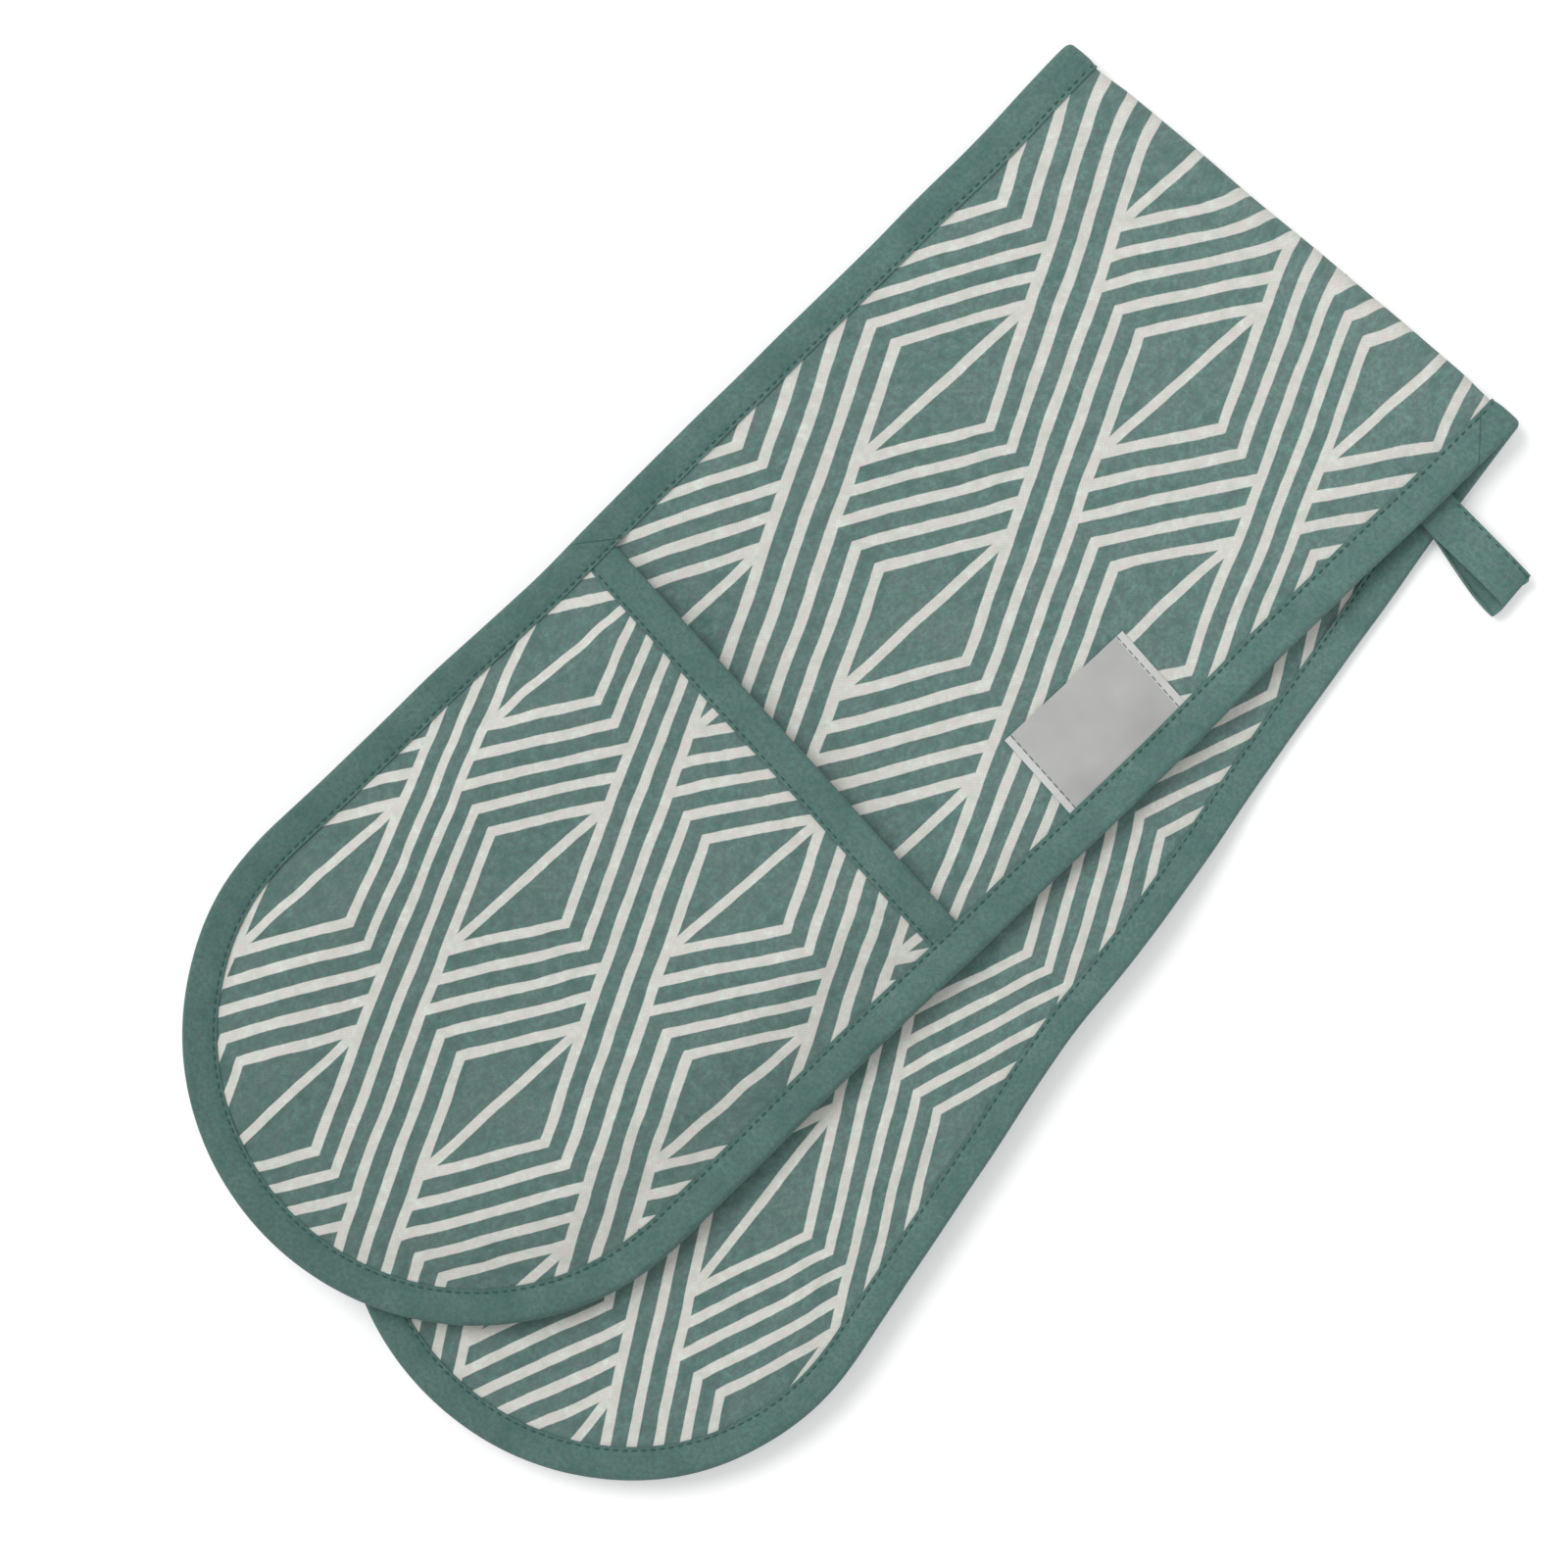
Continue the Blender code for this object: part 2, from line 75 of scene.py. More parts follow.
# The pockets
POCKET_DEPTH = 0.225
POCKET_SEAM_MID = 0.0028
POCKET_SEAM_HALF = 0.00075
POCKET_EDGE_MID = 0.0038
POCKET_EDGE_HALF = 0.001
POCKET_MID = 0.0105
POCKET_HALF = 0.002
POCKET_RISE_RUN = 0.026
POCKET_PUFF_RUN = 0.014
SEAM_CLIMB_START = 0.0116
SEAM_CLIMB_RUN = 0.004
MOUTH_LEAN = tan(radians(2.2))
MOUTH_WIDTH = 0.0112
MOUTH_REACH = 0.086
MOUTH_EDGE_INSET = 0.0025

# The binding, its seam and its stitches
BINDING_WIDTH = 0.0105
BINDING_HALF = 0.0025
BINDING_POCKET_STEP = 0.0023
BINDING_STEP_RUN = 0.006
BINDING_ROUND = 0.0018
TAPE_THICKNESS = 0.0006
SEAM_FROM_EDGE = 0.001
STITCH_PITCH = 0.00295
STITCH_SIZE = (0.0019, 0.00062, 0.0004)
STITCH_PROUD = 0.2

# The padding
CELL = 0.004


def clip(share):
    return min(max(share, 0.0), 1.0)


def ramp(value, start, run):
    """0 up to a start, and from there smoothly up to 1 over a run."""
    share = clip((value - start) / run)
    return share * share * (3 - 2 * share)


def mix(start, end, share):
    return start + (end - start) * share


def sign(value):
    return 1 if value > 0 else -1


def noise_at(*place):
    """Smooth noise, about -1 to 1, with features of about 1."""
    return noise.noise(Vector(place))


def wander(x, y, scale, seed):
    """Smooth noise over the flat cloth, about -1 to 1, with features of about the given scale."""
    return noise_at(x / scale, y / scale, seed)


def through(knots, share):
    """A smooth curve through a row of points."""
    place = share * (len(knots) - 1)
    index = min(int(place), len(knots) - 2)
    way = place - index
    before, a, b, after = (Vector(knots[min(max(index + step, 0), len(knots) - 1)])
                           for step in (-1, 0, 1, 2))
    return 0.5 * (2 * a + (b - before) * way + (2 * before - 5 * a + 4 * b - after) * way ** 2
                  + (3 * a - before - 3 * b + after) * way ** 3)


def steps(count, start=0.0, end=1.0):
    """Even stations from start to end."""
    return [mix(start, end, step / count) for step in range(count + 1)]


def ways(start, end, step, fine_until=0.0, fine_step=None):
    """Stations from start to end, closer together at first."""
    found = [start]
    while found[-1] < end - step * 0.6:
        near = fine_step and found[-1] - start < fine_until
        found.append(found[-1] + (fine_step if near else step))
    found[-1] = end
    return found


def lengths_along(points):
    """How far along a row of points each of them is."""
    found = [0.0]
    for a, b in zip(points, points[1:]):
        found.append(found[-1] + hypot(b[0] - a[0], b[1] - a[1]))
    return found


# Places: the two halves and the fold between them

def upright(origin, x_axis, y_axis, z_axis):
    matrix = Matrix((x_axis, y_axis, z_axis)).transposed().to_4x4()
    matrix.translation = origin
    return matrix


class Half:
    """One half of the strip, with how it rides up over the pocket that it lies on."""

    def __init__(self, name, reach, lift_start, side, matrix):
        self.name = name
        self.reach = reach
        self.mouth = reach - POCKET_DEPTH
        self.tip_centre = reach - HALF_WIDTH
        self.lift_start = lift_start
        self.side = side
        self.matrix = matrix

    def mouth_at(self, y):
        return self.mouth + y * MOUTH_LEAN

    def rim(self, x, y):
        """How far a flat point lies inside the strip's outer edge."""
        if x <= self.tip_centre:
            return HALF_WIDTH - abs(y)
        return HALF_WIDTH - hypot(x - self.tip_centre, y)

    def mid(self, x):
        return BODY_MID + self.side * POCKET_LIFT * ramp(x, self.lift_start, LIFT_RUN)

    def body_half(self, x, y):
        return mix(EDGE_HALF, BODY_HALF, ramp(self.rim(x, y), PANEL_INSET, BODY_PUFF_RUN))

    def seam_climb(self, rim):
        return ramp(rim, SEAM_CLIMB_START, SEAM_CLIMB_RUN)

    def pocket_mid(self, x, y):
        rim = self.rim(x, y)
        foot = mix(POCKET_SEAM_MID, POCKET_EDGE_MID, self.seam_climb(rim))
        rise = ramp(rim, PANEL_INSET, POCKET_RISE_RUN)
        return self.mid(x) + foot + (POCKET_MID - POCKET_EDGE_MID) * rise

    def pocket_half(self, x, y):
        rim = self.rim(x, y)
        edge = mix(POCKET_SEAM_HALF, POCKET_EDGE_HALF, self.seam_climb(rim))
        beside = ramp(rim, PANEL_INSET, POCKET_PUFF_RUN)
        behind = ramp(x, self.mouth_at(y) + MOUTH_WIDTH, POCKET_PUFF_RUN)
        return edge + (POCKET_HALF - POCKET_EDGE_HALF) * beside * behind


# Where the bend and the flat halves start, at the level between the halves
MEETING_LEVEL = 0.0065
TURN = 2 * FOLD_SLANT
BEND = upright((0.213427, 0.033944, MEETING_LEVEL), (cos(FOLD_SLANT), sin(FOLD_SLANT), 0),
               (-sin(FOLD_SLANT), cos(FOLD_SLANT), 0), (0, 0, 1))
FRONT = Half("front", reach=0.442, lift_start=0.103929, side=1,
             matrix=upright((0.213369, 0.034546, MEETING_LEVEL),
                            (-1, 0, 0), (0, -1, 0), (0, 0, 1)))
BACK = Half("back", reach=0.448, lift_start=0.125485, side=-1,
            matrix=upright((0.213485, 0.033341, MEETING_LEVEL),
                           (-cos(TURN), -sin(TURN), 0), (-sin(TURN), cos(TURN), 0), (0, 0, -1)))
PARTS = (("left", -1), ("right", 1))


def fold_line(y):
    """The flat x at which the strip reaches the middle of the fold."""
    return -FOLD_RUN - y * tan(FOLD_SLANT)


# How far in the sewing draws the strip's edges, in mm at every step from the fold, by half and side
DRAWN_STEP = 0.04
DRAWN_IN = {
    (1, 1): (-1.3, -1.2, -1.0, -1.4, -1.2, -0.5, 0.0, 0.3, 0.0, -0.2, 0.1, 0.0, 0.0),
    (1, -1): (0.0, 1.5, 2.1, 2.5, 2.7, 3.1, 3.7, 2.5, 2.3, 1.2, 0.4, 0.0, 0.0),
    (-1, -1): (-1.3, 0.3, 1.0, 2.0, 2.3, 3.0, 5.8, 5.5, 4.6, 3.9, 2.0, 0.2, 0.0),
    (-1, 1): (0.0, 0.4, 0.0, -0.3, 0.2, 0.4, 0.0, -0.3, 0.1, 0.3, 0.0, 0.0, 0.0),
}
EDGE_WAVE = 0.0003
EDGE_WAVE_SCALE = 0.025
EDGE_WAVE_RUN = 0.03


def drawn_in(half, x, y):
    """The flat y once the seams have drawn the cloth in."""
    knots = [(inset, 0) for inset in DRAWN_IN[half.side, sign(y)]]
    share = clip(x / DRAWN_STEP / (len(knots) - 1))
    wave = EDGE_WAVE * wander(x, 0.5, EDGE_WAVE_SCALE, 1.7) * ramp(x, 0, EDGE_WAVE_RUN)
    inset = through(knots, share)[0] / 1000 + wave
    return y * (1 - inset / HALF_WIDTH * ramp(abs(y), 0, HALF_WIDTH))


def strip_place(half, x, y, z):
    """Where a flat point of one half is in the model."""
    y = drawn_in(half, x, y)
    past = x * cos(FOLD_SLANT) + y * sin(FOLD_SLANT)
    if past >= 0:
        return half.matrix @ Vector((x, y, z))
    angle = pi / 2 + past / NEUTRAL_RADIUS
    along = FOLD_SHIFT * angle / (pi / 2) - y / cos(FOLD_SLANT)
    across_model = half.side * along
    out = FOLD_WAVE * noise_at(across_model * FOLD_WAVES_PER_M, 0.3, 7.1) * cos(angle)
    return BEND @ Vector((z * cos(angle) + out, across_model, half.side * z * sin(angle)))


# Mesh helpers

def grid(columns, rows):
    bm = bmesh.new()
    bmesh.ops.create_grid(bm, x_segments=columns, y_segments=rows, size=0.5)
    return bm


def opened(mesh):
    """An editable copy of a mesh."""
    bm = bmesh.new()
    bm.from_mesh(mesh)
    return bm


def add_to_scene(name, data):
    obj = bpy.data.objects.new(name, data)
    bpy.context.scene.collection.objects.link(obj)
    return obj


def add_object(name, bm, material):
    mesh = bpy.data.meshes.new(name)
    bm.to_mesh(mesh)
    bm.free()
    mesh.shade_smooth()
    mesh.materials.append(material)
    return add_to_scene(name, mesh)


def evaluated(obj):
    return obj.evaluated_get(bpy.context.evaluated_depsgraph_get())


def sharpen_borders(bm):
    for edge in bm.edges:
        edge.smooth = len(edge.link_faces) == 2


def thicken(obj, thickness):
    shell = obj.modifiers.new("cloth thickness", "SOLIDIFY")
    shell.thickness = thickness
    shell.offset = -1
    return obj


def surface(name, alongs, acrosses, shape, material, probe, facing, thickness):
    """A tape or panel: a grid of cloth whose points come from shape(along, across).

    shape gives the place and the print's point. The faces that probe(along, across) picks face
    towards facing, and the rest follow.
    """
    columns, rows = len(alongs) - 1, len(acrosses) - 1
    bm = grid(columns, rows)
    prints, chosen = {}, set()
    for vert in bm.verts:
        along = alongs[round((vert.co.x + 0.5) * columns)]
        across = acrosses[round((vert.co.y + 0.5) * rows)]
        if probe(along, across):
            chosen.add(vert)
        vert.co, prints[vert] = shape(along, across)
    layer = bm.loops.layers.uv.new("print")
    for face in bm.faces:
        for loop in face.loops:
            loop[layer].uv = prints[loop.vert]
    bm.normal_update()
    if sum(v.normal.dot(Vector(facing)) for v in chosen) < 0:
        bmesh.ops.reverse_faces(bm, faces=bm.faces)
    sharpen_borders(bm)
    return thicken(add_object(name, bm, material), thickness)


# The print: where a flat point falls in the repeating pattern

BOW_REACH = 0.12
FOLD_HASTE = 0.004
HASTE_RUN = 0.018


class Cloth:
    """How a cut of the printed cloth lies on the strip, from the point where its pattern starts.

    along and across say how fast the two ways of the pattern run there: by u, by v, and as bows
    by u squared, u times v and v squared, each in 1/m.
    """

    def __init__(self, anchor, along, across):
        self.anchor = anchor
        self.rates = (along, across)

    def at(self, u, v):
        u, v = u - self.anchor[0], v - self.anchor[1]
        near = min(max(u, -BOW_REACH), BOW_REACH)
        terms = (u, v, near * near, near * v, v * v)
        return [sum(rate * term for rate, term in zip(rates, terms)) for rates in self.rates]


def straight(turn, scale=(1.0, 1.0)):
    """The rates of cloth that lies flat, by its turn in degrees and its scale each way."""
    turn = radians(turn)
    return ((cos(turn) / scale[0], sin(turn) / scale[0], 0, 0, 0),
            (-sin(turn) / scale[1], cos(turn) / scale[1], 0, 0, 0))


OUTER_CLOTH = Cloth((-0.1118, 0.0431),
                    (0.883, 0.054, 0.24, -0.20, 0.98), (0.037, 0.918, 0.08, 0.03, -0.20))
INNER_CLOTH = Cloth((-0.3429, -0.0358), *straight(-3.8, (1.14, 1.0)))
FRONT_POCKET_CLOTH = Cloth((-0.3115, 0.0230),
                           (0.955, -0.090, 0.26, -0.34, -0.67), (0.046, 1.008, 0.12, -0.08, 0.24))
BACK_POCKET_CLOTH = Cloth((0.3180, 0.0120), *straight(2.0))
LINING_CLOTH = Cloth((0.2900, -0.0200), *straight(1.5))


def outer_print(half, x, y):
    """The print runs on faster where the cloth turns down over the fold."""
    turned = FOLD_HASTE * max(0, 1 - (x - fold_line(y)) / HASTE_RUN) ** 2
    run = turned if half is FRONT else 2 * FOLD_HASTE - turned
    return OUTER_CLOTH.at(-half.side * (x + FOLD_RUN + run), -half.side * y)


def inner_print(half, x, y):
    return INNER_CLOTH.at(half.side * (x + FOLD_RUN), -half.side * y)


def pocket_print(half, x, y):
    if half is FRONT:
        return FRONT_POCKET_CLOTH.at(-(x + FOLD_RUN), -y)
    return BACK_POCKET_CLOTH.at(x, y)


def lining_print(half, x, y):
    return LINING_CLOTH.at(x, -y)


# Materials

class Wire:
    """A socket, with arithmetic that adds Math nodes to its graph."""

    def __init__(self, graph, socket):
        self.graph = graph
        self.socket = socket

    def math(self, operation, *values):
        return self.graph.math(operation, self, *values)

    __add__ = __radd__ = partialmethod(math, "ADD")
    __sub__ = partialmethod(math, "SUBTRACT")
    __mul__ = __rmul__ = partialmethod(math, "MULTIPLY")
    __truediv__ = partialmethod(math, "DIVIDE")
    __mod__ = partialmethod(math, "FLOORED_MODULO")
    __abs__ = partialmethod(math, "ABSOLUTE")
    __round__ = partialmethod(math, "ROUND")
    __floor__ = partialmethod(math, "FLOOR")
    sine = partialmethod(math, "SINE")
    most = partialmethod(math, "MAXIMUM")
    least = partialmethod(math, "MINIMUM")

    def __rsub__(self, other):
        return self.graph.math("SUBTRACT", other, self)

    def clamped(self):
        return self.graph.math("ADD", self, 0, clamp=True)

    def above(self, start, gain):
        """0 up to a start, and from there up to 1 at the given rate."""
        return ((self - start) * gain).clamped()

    def soft(self, width):
        """0 below 0 and 1 above it, with a soft step of the given width."""
        return (self / width + 0.5).clamped()


class Graph:
    """A node tree and the means to add nodes to it."""

    def __init__(self, tree):
        self.tree = tree

    def connect(self, socket, value):
        if isinstance(value, Wire):
            self.tree.links.new(value.socket, socket)
        else:
            socket.default_value = value

    def fill(self, node, values):
        """Values or links for a node's inputs, by socket name, spaces as underscores."""
        for key, value in values.items():
            self.connect(node.inputs[key.replace("_", " ")], value)

    def node(self, kind, output=0, **values):
        node = self.tree.nodes.new("ShaderNode" + kind)
        self.fill(node, values)
        return Wire(self, node.outputs[output])

    def math(self, operation, *values, clamp=False):
        node = self.tree.nodes.new("ShaderNodeMath")
        node.operation = operation
        node.use_clamp = clamp
        for socket, value in zip(node.inputs, values):
            self.connect(socket, value)
        return Wire(self, node.outputs[0])

    def blend(self, share, low, high):
        """A colour between two."""
        node = self.tree.nodes.new("ShaderNodeMix")
        node.data_type = "RGBA"
        for index, value in ((0, share), (6, low), (7, high)):
            self.connect(node.inputs[index], value)
        return Wire(self, node.outputs[2])

    def noise(self, vector, scale, detail=2.0, roughness=0.5):
        return self.node("TexNoise", Vector=vector, Scale=scale, Detail=detail, Roughness=roughness)

    def object_place(self):
        return self.node("TexCoord", output=3)

    def in_sight(self):
        """1 for what the camera sees, also in a mirror or through glass, and 0 for other light."""
        path = self.node("LightPath").socket.node
        return reduce(Wire.most, [Wire(self, path.outputs[f"Is {kind} Ray"])
                                  for kind in ("Camera", "Glossy", "Transmission")])


class Shade(Graph):
    """A material's graph, with what the cloths share."""

    def __init__(self, name):
        self.material = bpy.data.materials.new(name)
        self.material.use_nodes = True
        super().__init__(self.material.node_tree)
        self.shader = self.tree.nodes["Principled BSDF"]

    def across_and_up(self, place):
        parts = self.node("SeparateXYZ", Vector=place).socket.node
        return Wire(self, parts.outputs[0]), Wire(self, parts.outputs[1])

    def flat_places(self):
        """The piece's own flat coordinates, whole and in millimetres each way."""
        place = self.node("UVMap")
        place.socket.node.uv_map = "print"
        x, y = self.across_and_up(place)
        return place, x * 1000, y * 1000

    def grain(self, place):
        """The yarns' fine light and dark: partly their uneven tone, partly painted shade between
        them.
        """
        return self.noise(place, 700, 3.0, 0.75).above(0.4, 5.0)

    def tinge(self, place):
        """Small patches with a little less colour."""
        return self.noise(place, 350, 4.0, 0.7).above(0.4, 5.0)

    def streaks(self, place, stretch, scale):
        """Noise drawn out along the way in which the stretch is least."""
        return self.noise(self.node("Mapping", Vector=place, Scale=stretch), scale, 2.0, 0.6)

    def depth(self):
        """Painted shade: where the light falls off, least at the fold beside the loop, most at the
        rounded tips.
        """
        x, y = self.across_and_up(self.object_place())
        return (0.15 - x * 0.75 + y * 0.55).clamped()

    def layered(self, base, *coats):
        """A colour with others laid over it in turn, each by its share."""
        colour = seen(*base)
        for share, coat in coats:
            colour = self.blend(share, colour, seen(*coat))
        return colour

    def finished(self, colour, roughness, height, distance, strength, **values):
        """The material, with its colour, its roughness and the bumps of its relief."""
        bumps = self.node("Bump", Height=height, Distance=distance, Strength=strength)
        self.fill(self.shader, dict(values, Base_Color=colour, Roughness=roughness, Normal=bumps))
        return self.material


def seen(red, green, blue):
    """The linear colour of an sRGB one given from 0 to 255."""
    return [((c / 255 + 0.055) / 1.055) ** 2.4 for c in (red, green, blue)] + [1]


# The print, in mm: the lines' pitch, and the diagonals' half width and soft edge
PRINT_PITCH = 8.0
DIAGONAL_HALF = 1.5
DIAGONAL_EDGE = 0.25
PRINT_SLOPE = radians(29.5)

# Counted in lines: a line's half width and soft edge, how much later each line's runs start than
# its neighbour's, the repeat, a rhombus's reach from its centre, and the falling lines' runs
LINE_SHARE = 0.2
EDGE_SHARE = 0.035
ROW_SHIFT = 4
REPEAT = 30
RHOMBUS_REACH = 2
EVEN_RUNS = ((0, 4), (6, 12), (14, 18))
ODD_RUNS = ((3, 8), (10, 15))

# How uneven the print is: its drift and wobble in mm, and the wander of its lines' half width
PRINT_DRIFT = 2.0
PRINT_WOBBLE = 0.22
LINE_WANDER = 0.06

# The weave's thread pitch in mm, and how both cotton cloths shine
THREAD_PITCH = 0.55
COTTON_SHINE = {"Specular_IOR_Level": 0.25, "Sheen_Weight": 0.06, "Sheen_Roughness": 0.6}


def within(value, low, high):
    """1 where a value is between two limits, with soft ends."""
    return (value - low).soft(EDGE_SHARE) * (high - value).soft(EDGE_SHARE)


def in_runs(value, runs):
    """1 in any of a line's runs, which reach over the width of the lines that they end at."""
    return reduce(Wire.most, [within(value, start, end + 2 * LINE_SHARE) for start, end in runs])


def rhombus_lines(x, y, width):
    """The print's line mask: rhombi with a long diagonal, joined by runs of parallel lines."""
    rise_x, rise_y = sin(PRINT_SLOPE) / PRINT_PITCH, cos(PRINT_SLOPE) / PRINT_PITCH
    first = y * rise_y - x * rise_x
    second = y * rise_y + x * rise_x
    row = round(first)
    odd = row % 2
    run = (second - ROW_SHIFT * row - 6 - 3 * odd + LINE_SHARE) % REPEAT
    on_row = (width - abs(first - row)).soft(EDGE_SHARE)
    mask = on_row * within(run, 0, 18 + 2 * LINE_SHARE - 6 * odd)
    row = round(second)
    odd = row % 2
    run = (first - ROW_SHIFT * row + 24 + LINE_SHARE) % REPEAT
    on_row = (width - abs(second - row)).soft(EDGE_SHARE)
    mask = mask.most(on_row * (in_runs(run, EVEN_RUNS) * (1 - odd) + in_runs(run, ODD_RUNS) * odd))
    for step in (0, 2):
        centre_second = floor(second / 2) * 2 + step
        shift = ROW_SHIFT * centre_second
        centre_first = shift + REPEAT * round((first - shift) / REPEAT)
        a, b = first - centre_first, second - centre_second
        inside = [((RHOMBUS_REACH - abs(c)) / EDGE_SHARE).clamped() for c in (a, b)]
        off = abs(a + b) * (PRINT_PITCH / (2 * cos(PRINT_SLOPE)))
        mask = mask.most(inside[0] * inside[1] * (DIAGONAL_HALF - off).soft(DIAGONAL_EDGE))
    return mask


def weave(x, y):
    """A plain weave's bumps, 0 to 1."""
    rate = pi / THREAD_PITCH
    return (x * rate).sine() * (y * rate).sine() * 0.5 + 0.5


def printed_cotton():
    shade = Shade("printed_cotton")
    place, x, y = shade.flat_places()
    wobble = (shade.noise(place, 260, 1.0) - 0.5) * PRINT_WOBBLE
    x_drawn = x + (shade.noise(place, 38, 1.5) - 0.5) * PRINT_DRIFT + wobble
    y_drawn = y + (shade.noise(place, 31, 1.5) - 0.5) * PRINT_DRIFT + wobble
    width = LINE_SHARE + (shade.noise(place, 90, 1.0) - 0.5) * LINE_WANDER
    lines = rhombus_lines(x_drawn, y_drawn, width)
    threads = weave(x, y)
    mottle = shade.noise(place, 240, 4.0, 0.65)
    clouds = shade.noise(place, 55, 3.0, 0.6)
    fibre = shade.noise(place, 1500, 2.0, 0.7)
    tinge = shade.tinge(place)
    # Painted shade: the cloth darkens towards the rounded tips, where the light falls off.
    depth = shade.depth()
    teal = shade.layered(
        (84, 122, 113),
        (mottle.above(0.36, 3.2), (117, 154, 146)),
        (clouds.above(0.42, 2.8) * 0.75, (123, 145, 138)),
        (tinge * 0.45, (120, 132, 138)),
        # Painted shade towards the rounded tips.
        (depth, (40, 62, 57)))
    white = shade.layered(
        (204, 211, 200),
        (mottle.above(0.4, 3.0), (232, 240, 233)),
        (clouds.above(0.45, 2.4) * 0.5, (224, 219, 210)),
        (tinge * 0.8, (225, 215, 213)),
        # Painted shade on the white lines towards the rounded tips.
        (depth * 0.35, (150, 152, 146)))
    worn = (lines * (1 - fibre.above(0.68, 5) * 0.35)).clamped()
    # Painted shade between the weave's threads, and the grain: partly the yarns' uneven tone,
    # partly painted shade.
    dark = (1 - threads) * 0.10 + shade.grain(place) * (0.34 - lines * 0.27)
    colour = shade.blend(dark, shade.blend(worn, teal, white), seen(70, 84, 80))
    return shade.finished(colour, 0.88 - lines * 0.1 + (mottle - 0.5) * 0.12,
                          threads * 0.5 + fibre * 0.5 + lines * 0.25, 0.00012, 0.7, **COTTON_SHINE)


# The binding: how far across its tape the fold is and how far the wear there reaches, its joins'
# starts and slopes along it, and a join's half width, in mm
TAPE_FOLD_GIRTH = 13.0
TAPE_WEAR_REACH = 1.6
TAPE_JOINS = ((5.6, 1.295), (761.8, -1.24))
JOIN_HALF = 0.4


def bias_binding():
    shade = Shade("bias_binding")
    place, x, y = shade.flat_places()
    threads = weave((x + y) * 0.7071, (x - y) * 0.7071)
    slubs = shade.streaks(place, (1.0, 0.12, 1.0), 1300)
    clouds = shade.noise(place, 70, 3.0, 0.6)
    fibre = shade.noise(place, 1600, 2.0, 0.7)
    smudges = shade.noise(place, 130, 4.0, 0.7)
    worn_edge = (1 - abs(y - TAPE_FOLD_GIRTH) / TAPE_WEAR_REACH).clamped()
    joins = [abs(x - start - slope * y) for start, slope in TAPE_JOINS]
    # The joins' creases: a groove in the relief, with painted shade along it in the colour.
    crease = (1 - joins[0].least(joins[1]) / JOIN_HALF).clamped()
    colour = shade.layered(
        (80, 121, 113),
        (clouds.above(0.33, 2.8), (103, 141, 132)),
        (smudges.above(0.42, 3.2) * 0.45, (109, 133, 127)),
        (slubs.above(0.52, 3) * 0.35, (116, 148, 139)),
        (shade.tinge(place) * 0.4, (116, 132, 136)),
        # Painted shade between the threads, and the grain: partly the yarns' uneven tone, partly
        # painted shade.
        (shade.grain(place) * 0.36 + (1 - threads) * 0.10, (48, 76, 70)),
        (worn_edge * clouds * 0.25, (128, 158, 149)),
        # Painted shade: the tape darkens towards the rounded tips, where the light falls off.
        (shade.depth(), (36, 62, 56)),
        # Painted shade along the joins' creases.
        (crease * 0.7, (44, 72, 66)))
    height = threads * 0.5 + slubs * 0.6 + fibre * 0.3 - crease * 1.5
    return shade.finished(colour, 0.85 - (clouds - 0.5) * 0.15, height, 0.00012, 0.8,
                          **COTTON_SHINE)


def wadding_felt():
    shade = Shade("wadding_felt")
    place = shade.object_place()
    tufts = shade.noise(place, 420, 6.0, 0.7)
    clouds = shade.noise(place, 45, 3.0)
    colour = shade.layered(
        (206, 201, 188),
        (tufts, (236, 233, 224)),
        (clouds.above(0.5, 2) * 0.3, (214, 212, 206)))
    return shade.finished(colour, 0.9 + (tufts - 0.5) * 0.1, tufts, 0.0006, 0.8,
                          Specular_IOR_Level=0.1)


# The label's ribbon, in mm: its whole length, how much of each end is doubled, the soft edge of
# that, and the pitch of its ribs
LABEL_GIRTH = 60.4
LABEL_DOUBLED = 7.6
DOUBLED_EDGE = 0.3
RIB_PITCH = 0.34


def label_satin():
    shade = Shade("label_satin")
    place, x, y = shade.flat_places()
    ribs = (y * (2 * pi / RIB_PITCH)).sine() * 0.5 + 0.5
    streaks = shade.streaks(place, (0.06, 1.0, 1.0), 1800)
    clouds = shade.noise(place, 60, 2.0)
    from_end = LABEL_GIRTH / 2 - abs(x - LABEL_GIRTH / 2)
    doubled = (LABEL_DOUBLED - from_end).soft(DOUBLED_EDGE)
    colour = shade.layered(
        (172, 173, 171),
        (clouds.above(0.3, 2), (186, 186, 185)),
        (doubled * 0.75, (212, 213, 210)),
        # Darker streaks of uneven tone, and painted shade between the ribs.
        (streaks.above(0.5, 2) * 0.3 + (1 - ribs) * 0.08, (160, 161, 158)))
    return shade.finished(colour, 0.5 + (streaks - 0.5) * 0.16, ribs * 0.6 + streaks * 0.4,
                          0.00005, 0.6, Specular_IOR_Level=0.4, Sheen_Weight=0.08,
                          Sheen_Roughness=0.35)


def sewing_thread():
    shade = Shade("sewing_thread")
    place = shade.object_place()
    twist = shade.noise(place, 2600, 2.0)
    patch = shade.noise(place, 90, 1.0)
    colour = shade.layered(
        (24, 62, 56),
        (twist, (52, 92, 84)),
        (patch.above(0.5, 2) * 0.4, (60, 98, 90)))
    return shade.finished(colour, 0.6 + (twist - 0.5) * 0.2, twist, 0.00008, 0.6,
                          Specular_IOR_Level=0.35, Sheen_Weight=0.1)


COTTON = printed_cotton()
BINDING = bias_binding()
FELT = wadding_felt()
SATIN = label_satin()
THREAD = sewing_thread()


# Padded bodies: a closed pad of cloth, swollen by a cloth simulation, then cut into its layers

